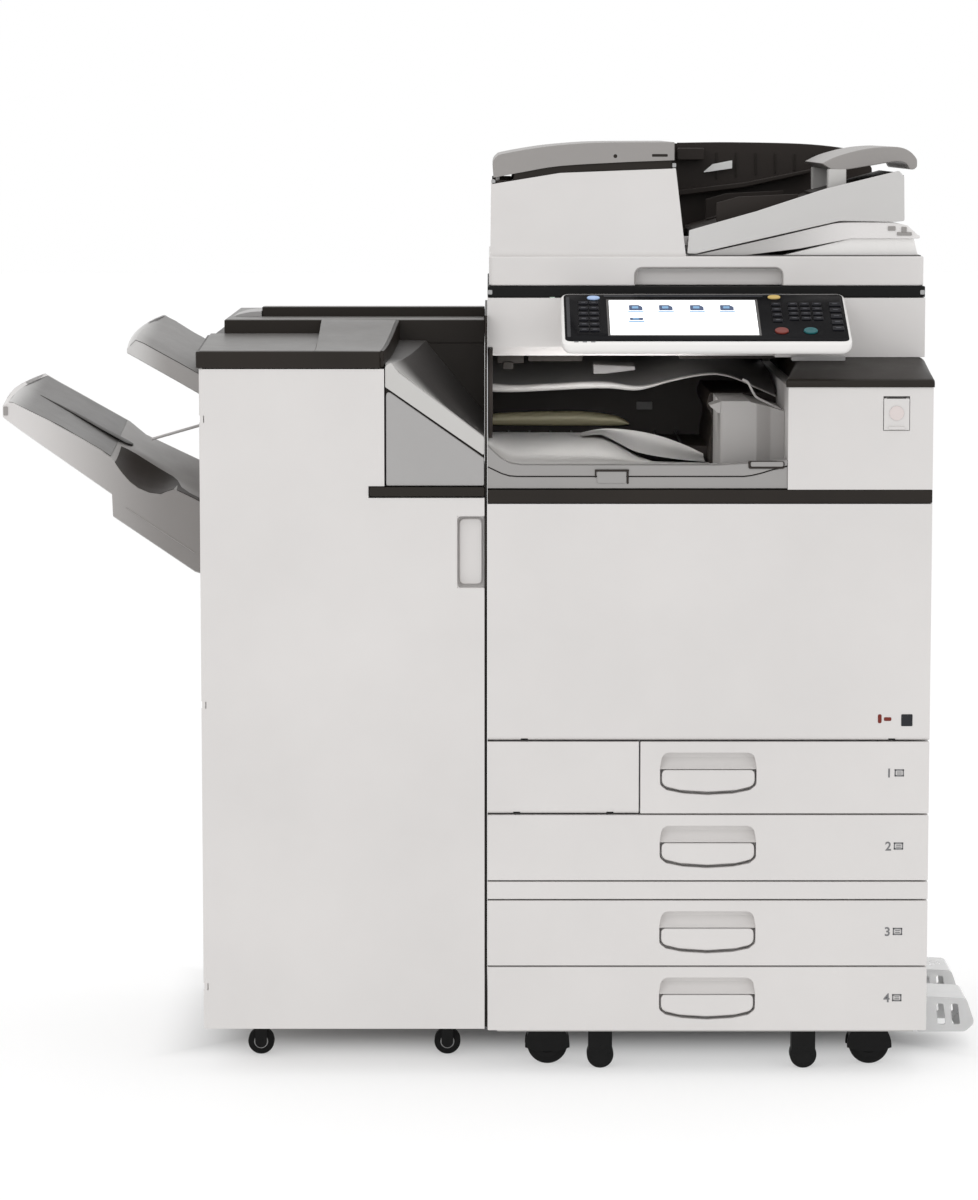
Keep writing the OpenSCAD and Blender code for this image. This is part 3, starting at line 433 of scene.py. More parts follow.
def ease(ob, width, segments, angle):
    """Rounds the edges of a piece and shades it smooth."""
    ob.data.polygons.foreach_set("use_smooth", [True] * len(ob.data.polygons))
    if width:
        step = ob.modifiers.new("edges", "BEVEL")
        step.width, step.segments, step.limit_method = width * MM, segments, "ANGLE"
        step.angle_limit = math.radians(angle)
        step.harden_normals = True
        step.miter_outer = "MITER_ARC"
    else:
        ob.data.set_sharp_from_angle(angle=math.radians(angle))


def keep(name, mat, width=0.8, segments=2):
    """A CAD node that is shown as it is, with eased edges and a finish of its own."""
    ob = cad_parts[name]
    ob.data.materials.clear()
    ob.data.materials.append(mat)
    custom = ob.data.attributes.get("custom_normal")
    if custom:
        ob.data.attributes.remove(custom)
    weld = ob.modifiers.new("weld", "WELD")
    weld.merge_threshold = 0.00002
    flat = ob.modifiers.new("flat", "DECIMATE")
    flat.decimate_type, flat.angle_limit = "DISSOLVE", math.radians(1.0)
    ease(ob, width, segments, SHARP)
    if not width:
        ob.modifiers.new("edges", "EDGE_SPLIT").split_angle = math.radians(SHARP)


# ---------------------------------------------------------------- drawers and front
FRONT, GREY = "white_panel", "light_grey_plastic"
for i in range(1, 5):
    lo, hi = (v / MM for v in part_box(f"drawer_{i}_front"))
    body, top = f"drawer_{i}", hi.z - 15
    face = Part(f"drawer_{i}_face")
    face.box((lo.x, hi.x), (lo.y, hi.y), (lo.z, hi.z))
    mouth = [(224, 0), (345, 0), (348.5, -20), (348.5, -43), (340, -50), (318, -54.5), (284, -56.5)]
    mouth += [(251, -54.5), (229, -50), (220.5, -43), (220.5, -20)]
    soft = [14, 14, 6, 8, 8, 14, 20, 14, 8, 8, 6]
    face.cut(Part("mouth").prism(rounded([(x, top + z) for x, z in mouth], soft, 10), "y", lo.y - 1,
        lo.y + 15))
    face.done(WHITE, 1.3, body, [f"drawer_{i}_front"])
    slope = [(-298.5, -22), (-294, -19.5), (-289.5, -14), (-287, -7), (-289, 1), (-284, 1), (-284, -22)]
    Part(f"drawer_{i}_scoop").prism([(y, top + z) for y, z in slope], "x", 220, 349).done(WHITE, 0.5, body)
    bar = Part(f"drawer_{i}_grip")
    ring = [(222.8, -23), (346.2, -23), (346.2, -44), (322, -50), (284, -52.4), (247, -50), (222.8, -44)]
    ring = rounded(ring, [7, 7, 11, 14, 20, 14, 11], 8)
    bar.prism([(x, top + z) for x, z in ring], "y", lo.y - 0.6, lo.y + 8)
    bar.done(WHITE, 2.4, body, segments=4)

    # the number of the drawer and a small picture of a sheet
    font = bpy.data.curves.new(f"drawer_{i}_digit", "FONT")
    font.body, font.size, font.extrude, font.offset = str(i), 0.0165, 0.0001, 0.00035
    digit = bpy.data.objects.new(f"drawer_{i}_digit", font)
    digit.location = (0.5205, lo.y * MM - 0.00015, (top - 32.5) * MM)
    digit.rotation_euler = (math.pi / 2, 0, 0)
    bpy.context.scene.collection.objects.link(digit)
    graph = bpy.context.evaluated_depsgraph_get()
    digit_mesh = bpy.data.meshes.new_from_object(digit.evaluated_get(graph))
    digit_mesh.transform(digit.matrix_world)
    bpy.data.objects.remove(digit)
    number = bpy.data.objects.new(f"drawer_{i}_number", digit_mesh)
    bpy.context.scene.collection.objects.link(number)
    digit_mesh.materials.append(INK)
    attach(number, body)
    sheet = Part(f"drawer_{i}_symbol")
    for x, z in (((532, 544.5), (-31.6, -29.6)), ((532, 544.5), (-23.8, -21.8)), ((532, 533.8), (-31, -22)),
        ((542.7, 544.5), (-31, -22)), ((535, 541.5), (-26.2, -24.9)), ((535, 541.5), (-28.8, -27.5))):
        sheet.box(x, (lo.y - 0.25, lo.y + 0.2), (top + z[0], top + z[1]))
    sheet.done(INK, 0, body)

    # paper and its guides inside the drawer
    t_lo, t_hi = (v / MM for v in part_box(f"drawer_{i}_tray"))
    left, back = t_lo.x + 40, t_hi.y - 170
    stack = Part(f"drawer_{i}_paper").box((left, left + 297), (t_lo.y + 30, back),
        (t_lo.z + 5, t_lo.z + 38), 1)
    stack.done(PAPER, 0.6, body)
    guides = Part(f"drawer_{i}_guides")
    guides.box((left + 298.5, left + 304), (t_lo.y + 60, back - 40), (t_lo.z + 2.5, t_lo.z + 55), 2)
    guides.box((left + 80, left + 210), (back + 2, back + 8), (t_lo.z + 2.5, t_lo.z + 55), 2)
    guides.done(KEYCAP, 0.8, body)


def hem(name, body, spans, axis, around):
    """A thin curved skin over the gaps that the hinge lugs need in a turned-under edge."""
    piece = Part(name)
    for span in spans:
        outer = [(axis[0] + 6 * math.cos(a), axis[1] + 6 * math.sin(a)) for a in around]
        inner = [(axis[0] + 4.9 * math.cos(a), axis[1] + 4.9 * math.sin(a)) for a in around[::-1]]
        piece.prism(outer + inner, "z" if body == "finisher_door" else "x", *span)
    piece.done(WHITE, 0, body)


turned = degrees(180, 217, 9)
hem("front_door_hem", "front_door", [(x - 5.2, x + 5.2) for x in (40, 528)], (-294, 459), turned)
hem("waste_cover_hem", "waste_cover", [(x - 5.2, x + 5.2) for x in (30, 154)], (-294, 360.5), turned)
turned = degrees(218, 271, 8)
hem("finisher_door_hem", "finisher_door", [(z - 5.2, z + 5.2) for z in (120, 500, 880)], (-383, -294),
    turned)
seal = Part("docking_seal").box((-12.6, -9.4), (-292, -276), (64, 946)).box((-12.6, -9.4), (-206, 290),
    (940, 1012))
seal.done(DARK, 0)
Part("base_lip").box((4, 562), (-288, -270), (56.8, 59.8), 0.8).done(PALE, 0.5)

# ---------------------------------------------------------------- exit bay
sill_top = [(-9, 845), (-2, 838), (8, 829), (20, 822), (36, 819), (296, 819), (349, 822), (387, 826)]
split = [(387, 818), (368, 813.5), (353, 808.8), (340, 805.6), (329, 804.2), (30, 804.2), (20, 805),
    (10, 808), (-9, 817)]
upper = Part("sill_upper", "exit_tray")
upper.prism(smooth(sill_top[:5], 4) + sill_top[5:] + [(x, z + 0.8) for x, z in split], "y", -298, -268)
upper.done(SILL, 1.6, "root", ["exit_tray"])
lower = Part("sill_lower", "exit_tray")
lower.prism([(-9, 788.5), (387, 788.5)] + [(x, z - 0.8) for x, z in split], "y", -298, -272)
lower.done(SILL, 0.9)
blocks("sill_core", "exit_tray", DARK, 0, ((-8, 386), (-294, -272), (787.5, 816)))

blocks("sill_catch", "exit_tray", SILL, 0.8, ((135.5, 174), (-299.6, -296), (795.5, 811), 2))
blocks("sill_catch_rim", "exit_tray", BROWN, 0.4,
    ((132.5, 177.5), (-300.1, -297), (810.8, 813.6), 1),
    ((174.6, 177.2), (-299, -297), (794.5, 811), 1),
    ((132.6, 134.4), (-299, -297), (803, 811), 0.6))
blocks("sill_latch", "exit_tray", SILL, 0.8, ((338, 381), (-301, -290), (817.5, 823.8), 2.4))
blocks("sill_latch_gap", "exit_tray", BROWN, 0.4, ((335, 382.5), (-299.6, -290), (814.6, 824.5), 2.6))

floor_back = [(-9, 841), (60, 840.5), (140, 840), (152, 838), (166, 831), (182, 820), (197, 810),
    (219, 801), (300, 799)]
floor_front = [(-9, 845), (-2, 838), (8, 829), (20, 822), (36, 819), (300, 819)]
rings = []
for x in [-8.5, -4, 2, 8, 14, 20, 28, 36, 60, 100, 135, 143, 150, 158, 166, 174, 182, 190, 198, 208, 220,
    250, 296]:
    ring = []
    for k in range(13):
        t = k / 12
        front, back = level(floor_front, x), level(floor_back, x)
        dish = -3 * math.sin(math.pi * t) ** 2 * (0.5 if x < 150 else 1)
        ring.append((x, -274 + 274 * t, front + 0.2 + (back - front) * t**1.15 + dish))
    rings.append(ring + [(x, 0, 789), (x, -274, 789)])
Part("copy_floor", "exit_tray").loft(rings).done(BAY, 0)

# the pale fin that falls away to the right, with its hollow flank
crest = smooth([(120, 841), (150, 846.5), (182, 845.5), (224, 838), (262, 825), (290, 812)], 5)
foot = smooth([(120, 839.5), (146, 841.5), (168, 832), (199, 817), (254, 807.5), (290, 804.5)], 5)
rings = []
for (x0, z0), (x1, z1) in zip(crest, foot):
    ring = []
    for k in range(9):
        t = k / 8
        ring.append((x0 + (x1 - x0) * t, -10 - 46 * t + 16 * math.sin(math.pi * t), z0 + (z1 - z0) * t))
    rings.append(ring + [(x1, -30, z1 - 1.5), (x0, 10, z0 - 1.5)])
Part("copy_fin", "exit_tray").loft(rings).done(BAY, 0)

strip = [(-8, 836, 852), (30, 835.4, 854.4), (88, 835, 856), (120, 835, 856), (149, 835, 853.6),
    (172, 835, 850),
    (184, 835.4, 846), (194, 836.4, 840)]
rings = []
for x, z0, z1 in smooth(strip, 4):
    mid, half = (z0 + z1) / 2, (z1 - z0) / 2
    ring = [(x, 206 - 8 * math.cos(a), mid + half * math.sin(a)) for a in degrees(-90, 91, 18)]
    rings.append(ring + [(x, 214, z1), (x, 214, z0)])
Part("brass_rim", "exit_tray").loft(rings).done(BRASS, 0)

hollow = Part("bay_lining", "exit_tray")
hollow.box((-8, 386), (216, 230), (789, 966))
hollow.box((-8, 386), (2, 216), (789, 822))
hollow.box((-8, -2), (-178, 216), (846, 966), 1)
hollow.prism(smooth([(296, 790), (296, 832), (300, 862), (292, 884), (296, 900)], 4) + [(386, 900),
    (386, 790)], "y", -66, 216)
hollow.done(BROWN, 0.6)
ribs = Part("bay_ribs", "exit_tray")
for x in range(20, 290, 30):
    ribs.prism([(10, 822), (214, 822), (214, 828), (60, 826)], "x", x, x + 2.4)
ribs.box((205, 228), (212.5, 216.5), (858, 869), 1.5)
ribs.done(SLATE, 0.5)

post = Part("bay_pillar", "exit_tray")
plan = rounded([(300, -72), (300, -241), (349, -241), (368, -229), (387, -229), (387, -72)],
    [1, 7, 5, 8, 1, 1])
post.prism(plan, "z", 789, 900)
post.cut(Part("slant").prism([(340, 899), (346, 897.5), (392, 884.5), (392, 905), (340, 905)], "y", -250,
    -60))
post.done(POST, 1.6)
Part("pillar_nub", "exit_tray").prism(
    rounded([(286, 894), (301, 899), (301, 883), (296, 885)], [1.5, 1, 1, 2]), "y", -238, -190
    ).done(POST)
bent = smooth([(333, -196, 926), (340, -199, 922), (346, -202, 910), (352, -204, 902), (368, -206, 894),
    (386, -208, 885)], 4)
Part("bay_lever", "exit_tray").tube(bent, 1.7).done(BAY, 0)

lip_low = [(-6, 903), (37, 903), (141, 908), (190, 905), (212, 908.5), (234, 915), (262, 921.5),
    (283, 925), (305, 926),
    (330, 920), (357, 908), (384, 896)]
lip_high = [(-6, 915), (37, 912.5), (141, 917.5), (190, 911.5), (212, 913), (234, 918.5), (262, 925),
    (283, 928.4),
    (305, 929.4), (330, 923.4), (357, 911), (384, 899)]
low_line, high_line = smooth(lip_low, 4), smooth(lip_high, 4)
nose, rings = [], []
for (x, z0), (_, z1) in zip(low_line, high_line):
    mid, half = (z0 + z1) / 2, (z1 - z0) / 2
    arc = degrees(-90, 91, 22)
    nose.append([(x, -96 - 6 * math.cos(a), mid + half * math.sin(a)) for a in arc] + [(x, -90, z1),
        (x, -90, z0)])
    rings.append([(x, -91, z0 + 0.5), (x, -40, z0 + 2), (x, 60, z0 + 12), (x, 214, z0 + 16),
        (x, 214, min(952, z1 + 30)), (x, 40, min(952, z1 + 24)), (x, -40, z1 + 13), (x, -91, z1 - 0.5)])
Part("bridge_lip", "exit_tray").loft(nose).done(POST, 0, "root", ["bridge_unit"], slot="mid_grey_plastic")
Part("bridge_shell", "exit_tray").loft(rings).done(LID, 0)
plate = Part("bridge_plate", "scanner_body")
plate.prism([(134, 931), (150, 931), (190, 936), (190, 941), (134, 943.5)], "y", -150, -60)
plate.done(SLATE, slot=GREY)
blocks("bay_gear", "scanner_body", DARK, 0.8,
    ((4, 40), (-130, -60), (944, 958), 2),
    ((12, 26), (-134, -120), (936, 946), 3),
    ((46, 120), (-120, -60), (946, 958), 3),
    ((250, 380), (-130, -60), (950, 957), 2))

# ---------------------------------------------------------------- control panel
PANEL_PIVOT, PANEL_TILT = (0, -195, 1041), 22
panel = Matrix.Translation(PANEL_PIVOT) @ Matrix.Rotation(math.radians(PANEL_TILT), 4, "X")


def slab(name, levels, body, mat, slot, replaces=(), bevel=0.5, turn=panel, at="panel_housing", cuts=()):
    """A rounded slab lofted through (z, x limits, y limits, radius)."""
    piece = Part(name, at, turn)
    piece.loft([[(x, y, z) for x, y in rect(xs, ys, r, 8)] for z, xs, ys, r in levels])
    return piece.cut(*cuts).done(mat, bevel, body, replaces, slot=slot)


notches = [
    Part("notch", "panel_housing", panel).box((lug - 8, lug + 8), (-21, 2), (-21, -6)) for lug in (150, 418)
]
notches += [Part("well", "panel_housing", panel).box(x, (-138, -6), (-7, 2))
    for x in ((106, 142), (363, 461))]
key_rows = [(118, -34, 1, 6, 0, 17), (132, -34, 1, 6, 0, 17), (374, -38, 1, 4, 0, 17),
    (396, -38, 3, 4, 16, 15)]
key_rows.append((452, -38, 1, 5, 0, 19))
keys = [(x0 + a * dx, y0 - b * dy) for x0, y0, columns, rows, dx, dy in key_rows for a in range(columns)
    for b in range(rows)]


def key_size(x):
    return (6.4, 4.6) if x < 440 else (7.6, 6.4)


key_box = {k: sum(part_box(k), Vector()) / 2 / MM for k in ("start_key", "stop_key")}
on_face = panel.inverted()
round_keys = [("home_key", 132, -17.5, 8.5, 0.62), ("saver_key", 373, -15, 8.5, 0.6)]
for k, centre in key_box.items():
    spot = on_face @ centre
    round_keys.append((f"{k}_cap", spot.x - 2, spot.y - 3.5, 9.2, 1.0))
holes = Part("key_holes", "panel_housing", panel)
for x, y in keys:
    w, t = key_size(x)
    holes.prism(rect((x - w - 0.4, x + w + 0.4), (y - t - 0.4, y + t + 0.4), 2.5, 3), "z", -3, 2)
for _, x, y, r, flat in round_keys:
    turns = full_turn(32)
    holes.prism([(x + (r + 0.5) * math.cos(a), y + (r * flat + 0.5) * math.sin(a)) for a in turns], "z",
        -3, 2)
slab("panel_shell", [(-20, (100, 456), (-146, -4), 8), (-17, (93, 463), (-153, -1), 11),
    (-12, (89.3, 466.7), (-157, 0), 13), (-8, (88.5, 467.5), (-158, 0), 13),
    (-2.6, (88.5, 467.5), (-158, 0), 13), (0, (90.5, 465.5), (-156, -2), 12)],
    "control_panel", PANEL, FRONT, ["panel_housing"], bevel=0.5, cuts=notches)
slab("panel_face", [(-1, (92.5, 464), (-151.5, -4), 9), (0.5, (92.5, 464), (-151.5, -4), 9),
    (0.9, (93.3, 463.2), (-150.7, -4.8), 8.5)],
    "control_panel", GLOSS, "black_glass", ["panel_glass"], bevel=0, cuts=[holes])
slab("panel_screen", [(0.6, (152, 347), (-134, -24), 1), (1.15, (152.3, 346.7), (-133.7, -24.3), 1)],
    "control_panel", LCD, "screen", ["lcd_screen"], bevel=0)
frame_line = Part("screen_edge", "panel_housing", panel)
for x, y in (((149, 350), (-24, -21.5)), ((149, 350), (-136.5, -134)), ((149, 151.6), (-136, -22)),
    ((347.4, 350), (-136, -22))):
    frame_line.prism(rect(x, y, 0.4, 2), "z", 0.6, 1.3)
frame_line.done(SLATE, 0.2, "control_panel")
icons, pale_icons = Part("screen_icons", "panel_housing", panel), Part("screen_notes", "panel_housing",
    panel)
for x, y in ((187.6, -52), (227.5, -52), (268.6, -52), (308.5, -52), (187.6, -83)):
    first = y > -60
    page = rounded([(x - 9, y - 5), (x + 9, y - 5), (x + 9, y + 6), (x + 4, y + 12), (x - 9, y + 12)], 1.8)
    icons.prism(page if first else rect((x - 9, x + 9), (y - 5, y + 3), 3), "z", 1.15, 1.32)
    pale_icons.prism(rect((x - 10.5, x + 10.5), (y - 11.5, y - 7.5), 1.2), "z", 1.15, 1.3)
    pale_icons.prism(rect((x - 5, x + 3.5), (y + 1 if first else y - 3, y + 8 if first else y + 1), 1.2),
        "z", 1.32, 1.42)
icons.done(ICON, 0, "control_panel")
pale_icons.done(ICON_PALE, 0, "control_panel")

# Two slightly lighter strips on the black glass, along its rear and left edges: a painted sheen.
sheen = Part("panel_painted_sheen", "panel_housing", panel)
sheen.prism(rect((146, 358), (-13, -7), 2), "z", 0.7, 1.1)
sheen.prism(rect((95.5, 100), (-140, -14), 2), "z", 0.7, 1.1)
sheen.done(KEYCAP, 0.2, "control_panel", slot="black_glass")
marks = Part("lip_lamps", "panel_housing", panel)
for x in (104, 115, 126):
    marks.prism(rect((x, x + 6), (-154.6, -151), 1), "z", -0.9, 0.35)
marks.done(INK, 0.2, "control_panel")

caps, prints = Part("panel_buttons", "panel_housing", panel), Part("button_marks", "panel_housing", panel)
for x, y in keys:
    wide, tall = key_size(x)
    caps.loft([[(u, v, z) for u, v in rect((x - w, x + w), (y - t, y + t), r)]
        for z, w, t, r in ((-4, wide, tall, 2.5), (1.9, wide, tall, 2.5), (2.4, wide - 1, tall - 1, 2))])
    prints.prism(rect((x - wide * 0.45, x + wide * 0.45), (y - 0.6, y + 0.9), 0.3, 2), "z", 2.4, 2.5)
caps.done(KEYTOP, 0, "panel_keys", ["panel_keys"])
prints.done(KEYMARK, 0, "panel_keys")

turns = full_turn(36)
dome = ((-4, 1.0), (1.9, 1.0), (2.6, 0.93), (3.0, 0.75), (2.8, 0.4))
for (name, x, y, r, flat), (body, mat, slot, hides) in zip(round_keys, (
    ("panel_keys", SKY, "key_black", []), ("panel_keys", AMBER, "key_black", []),
    ("start_key", TEAL, "key_green", ["start_key"]), ("stop_key", RED, "key_red", ["stop_key"]))):
    cap = Part(name, "panel_housing", panel)
    cap.loft([[(x + r * s * math.cos(a), y + r * s * flat * math.sin(a), z) for a in turns] for z,
        s in dome])
    cap.done(mat, 0, body, hides, slot=slot)

# ---------------------------------------------------------------- dark trims
blocks("dark_band", "right_box", DARK, 1.6,
    ((-9, 578), (-300, -276), (769.2, 786.8)),
    ((-6, 575), (-276, -274), (769.2, 786.8)), replaces=["dark_trims"])
rings = []
for y, top, r, inset in ((-302, 930.5, 5, 1.5), (-300.5, 932, 7, 0.4), (-296, 933.5, 9, 0),
    (-240, 944, 12, 0),
    (-184, 954, 13, 0), (-177, 954.9, 13, 0), (311.5, 954.9, 13, 0)):
    left = 383.5 + inset + 20 * max(0, min(1, (y + 300) / 118))
    ring = rounded([(left, 922.2), (left, top), (579.8 - inset, top), (579.8 - inset, 922.2)],
        [0, r, r, 0], 8)
    rings.append([(x, y, z) for x, z in ring])
Part("box_hood", "right_box").loft(rings).done(DARK, angle=50)
bezel = Part("glass_bezel", "scanner_body")
bezel.prism(rect((-9, 578), (-180, 312), 5), "z", 1035.5, 1050)
bezel.cut(Part("window").prism(rect((25, 490), (-150, 200), 0), "z", 1030, 1052))
bezel.done(JET, 1.2)
blocks("panel_arm", "scanner_body", SILVER, 0.8, ((398, 470), (-200, -182), (951, 957.5), 2))

# ---------------------------------------------------------------- power cover, marks, stripe ends
spot = Part("power_lens", "power_cover")
spot.lathe("y", (529.5, 888), [(-301.5, 9.6), (-302.1, 9.2), (-302.3, 7)], 40)
spot.done(BLUSH, 0, "power_cover")
ends = Part("stripe_ends", "scanner_body")
for x in (-8.6, 571):
    ends.box((x, x + 6), (-180.6, -176), (1039, 1045), 1.5)
ends.done(HUB, 0.5)
blocks("door_badge", "front_door", KEYCAP, 0.3,
    ((540, 555), (-300.5, -299.5), (472, 488), 1.5), body="front_door")
blocks("door_dots", "front_door", RED, 0.2,
    ((509, 514), (-300.4, -299.6), (476, 488), 2.4),
    ((517, 527), (-300.4, -299.6), (479, 484), 2), body="front_door")

# ---------------------------------------------------------------- document feeder
base = Part("feeder_slab", "feeder_base")
base.prism(rect((-7, 576), (-178, 298), [9, 9, 5, 5]), "z", 1050.6, 1090)
arch = rounded([(189, 1040), (189, 1074), (386, 1074), (386, 1040)], [0, 11, 11, 0])
base.cut(Part("grip").prism(arch, "y", -180, -163), Part("bed").box((9, 561), (-150, 282), (1040, 1056)))
base.done(WHITE, 2.2, "feeder", ["feeder_base"])
lining = Part("grip_lining", "feeder_base")
lining.prism(smooth([(-163, 1052), (-164, 1060), (-167, 1068), (-174, 1073.4)], 5) + [(-160, 1074),
    (-160, 1052)],
    "x", 189.5, 385.5)
lining.done(WHITE, 0, "feeder")
# A mid-grey tube round the grip recess: painted shade along the recess edge.
edge = Part("grip_shade_outline", "feeder_base")
path = rounded([(188.6, 1052.5), (188.6, 1075), (386.4, 1075), (386.4, 1052.5)], [0, 12, 12, 0], 8)
edge.tube([(x, -177.6, z) for x, z in path], 1.3, 8)
edge.done(MID, 0, "feeder")
Part("platen_pad", "feeder_base").prism(rect((11, 559), (-148, 280), 8), "z", 1051.5, 1057).done(FOAM,
    1.5, "feeder")
lugs = Part("feeder_lugs", "feeder_base")
for lug in (50, 508):
    lugs.prism(rounded([(290, 1058), (332, 1058), (332, 1074), (290, 1074)], [0, 7, 7, 0]), "x", lug,
        lug + 12)
    lugs.cut(Part("bore").rod("x", lug - 1, lug + 13, (324, 1066), 5.2))
lugs.done(HUB, 0.5, "feeder")

band_top = [(266, 1090.6), (300, 1098), (380, 1116), (440, 1130), (463, 1134.4), (500, 1135), (538, 1134),
    (554, 1131)]
deck = Part("output_deck", "feeder_base")
deck.prism(smooth(band_top, 3) + rounded([(571, 1118), (571, 1113.5), (479, 1113.5), (410, 1100),
    (334, 1090.6)],
    [3, 2, 8, 20, 0]), "y", -168, 230)
# The deck carries the painted shade of DECK.
deck.done(DECK, 1.6, "feeder")
# The riser takes the brighter PANEL white: painted light on a face that lies in shade.
Part("output_riser", "feeder_base").prism([(386, 1090.6), (480, 1114), (563, 1114), (569, 1090.6)], "y",
    -164, 226).done(PANEL, 1.2, "feeder")
blocks("output_joint", "feeder_base", SLATE, 0,
    ((262, 572), (-172, 232), (1089.4, 1091.4), 0.5), body="feeder")
blocks("output_clips", "feeder_base", MID, 0.4,
    ((528, 538), (-169.4, -160), (1124, 1130), 1),
    ((540, 560), (-169.4, -160), (1117.5, 1122), 1),
    ((546, 553), (-169.8, -160), (1122, 1129), 1), body="feeder")

back = Part("tray_backwall", "feeder_base")
outline = smooth([(262, 1239.5), (340, 1240.2), (440, 1238), (500, 1232), (530, 1224)], 5) + [(542, 1203),
    (546, 1091), (262, 1091)]
back.prism(outline, "y", 232, 240)
back.box((243.8, 262.2), (233, 239.4), (1091, 1238.6))
back.box((262, 300), (206, 233), (1215, 1232), 3)
back.prism([(262, 1172), (357, 1183), (453, 1202), (453, 1197), (357, 1176), (262, 1164)], "y", 207, 233)
back.done(BROWN, 1.4, "feeder")
pleats = Part("backwall_ribs", "feeder_base")
for x in range(318, 500, 28):
    pleats.box((x, x + 2.2), (229.8, 233), (1188 + (x - 318) * 0.1, 1226 - (x - 318) * 0.02), 0.8)
pleats.done(DARK, 0.4, "feeder")
Part("blank_label", "feeder_base").prism(
    rounded([(299, 1197), (313, 1209), (341, 1214.5), (341, 1203)], 1), "y", 222, 223
    ).done(FOAM, 0, "feeder")

cap = Part("cover_shell", "feeder_cover")
crown = smooth([(-2, 1208), (-1.4, 1216), (3, 1222.6), (14, 1227), (64, 1235.4), (110, 1239.8),
    (150, 1241.6), (241, 1242)], 4)
underside = smooth([(241, 1218), (170, 1215.2), (88, 1210.3), (40, 1202.5), (10, 1196.8), (-1, 1194.8)], 4)
cap.prism(crown + underside, "y", -172, 296)
inner = [(x, z - 3) for x, z in crown if 3 < x < 240] + [(238, 1239), (238, 1212), (88, 1202), (2.5, 1188)]
cap.cut(Part("inside").prism(inner, "y", -169, 293))
cap.done(MID, 2.2, "feeder_cover", ["feeder_cover"], segments=4)
knuckles = Part("cover_knuckles", "feeder_cover")
for lug in (-140, 262):
    for side in (-1, 1):
        rib = lug + side * 7.5
        knuckles.prism(rounded([(-0.5, 1200.5), (11, 1200.5), (11, 1222), (3, 1222)], 3), "y", rib - 2.5,
            rib + 2.5)
knuckles.done(MID, 0.4, "feeder_cover")
vents = Part("cover_marks", "feeder_cover")
vents.rod("y", -172.3, -170, (162, 1223.4), 2.6)
vents.box((211, 232), (-172.3, -170), (1222.6, 1226.2), 1.2)
vents.done(DARK, 0.3, "feeder_cover")
gap = Part("cover_gap", "feeder_body")
for y in ((-168.4, -163), (287, 292)):
    gap.prism(smooth([(24, 1186), (50, 1192), (88, 1199.5), (160, 1204), (239, 1206)], 4)
        + smooth([(236, 1222), (160, 1219), (88, 1213.5), (50, 1207), (28, 1203)], 4), "y", *y)
    gap.box((-2.5, 24.5), y, (1184, 1191.4))
gap.done(DARK, 0, "feeder")
blocks("cover_studs", "feeder_body", HUB, 0.5,
    ((-3.6, 1.5), (-170.6, -160), (1187.6, 1192), 1),
    ((238.4, 243.4), (-171, -160), (1208.5, 1214), 1), body="feeder")

wall = Part("document_wall", "feeder_tray")
wall.prism(rounded([(261.5, 1124.5), (311, 1138.5), (352, 1150), (444, 1180), (542, 1204), (549, 1196),
    (550, 1137),
    (538, 1136), (463, 1137), (300, 1100), (270, 1093), (259, 1093.6)],
    [1, 14, 30, 60, 3, 5, 3, 4, 20, 6, 2, 2]), "y", -170, -164)
wall.done(LIGHT, 1.2, "feeder_tray", ["feeder_tray"])
bed = Part("document_floor", "feeder_tray")


def tray_z(x):
    return 1120 + (x - 262) * 0.272


bed.prism([(273, tray_z(273) - 4), (549, tray_z(549) - 4), (549, tray_z(549)), (273, tray_z(273))], "y",
    -164, 204)
for y in range(-80, 140, 24):
    bed.prism([(290, tray_z(290) - 1), (430, tray_z(430) - 1), (430, tray_z(430) + 0.4),
        (290, tray_z(290) + 0.4)],
        "y", y, y + 3)
for y in ((-164, -150.6), (-141.4, -134), (206.6, 213.4), (222.6, 230)):
    bed.rod("y", *y, (266, 1110), 6)
    bed.box((266, 280), y, (1110, 1118))
bed.prism([(276, 1108), (280, 1108), (280, tray_z(280) - 2), (276, tray_z(276) - 2)], "y", -164, 230)
bed.done(BROWN, 0.5, "feeder_tray")

wing = Part("extension_wing", "tray_extension")
outer = [(440, 1213.6), (460, 1223), (490, 1231.4), (515, 1235), (540, 1235.6), (556, 1231), (567, 1220),
    (568, 1209)]
under = [(564, 1205.4), (558, 1206), (553, 1213), (540, 1216), (500, 1209.5), (470, 1205), (452, 1206)]
wing.prism(smooth(outer, 5) + smooth(under, 4), "y", -150, 160)
wing.done(MID, 1.8, "tray_extension", ["tray_extension"])
blocks("extension_slide", "tray_extension", PALE, 1,
    ((449, 473), (-150, -122), (1171, 1206), 2),
    ((449, 473), (130, 158), (1171, 1206), 2), body="tray_extension")
skid = Part("extension_skid", "tray_extension")
skid.prism([(440, tray_z(440) + 1), (546, tray_z(546) + 1), (546, tray_z(546) + 4),
    (440, tray_z(440) + 4)], "y", -150, 158)
skid.done(BROWN, 0.6, "tray_extension")

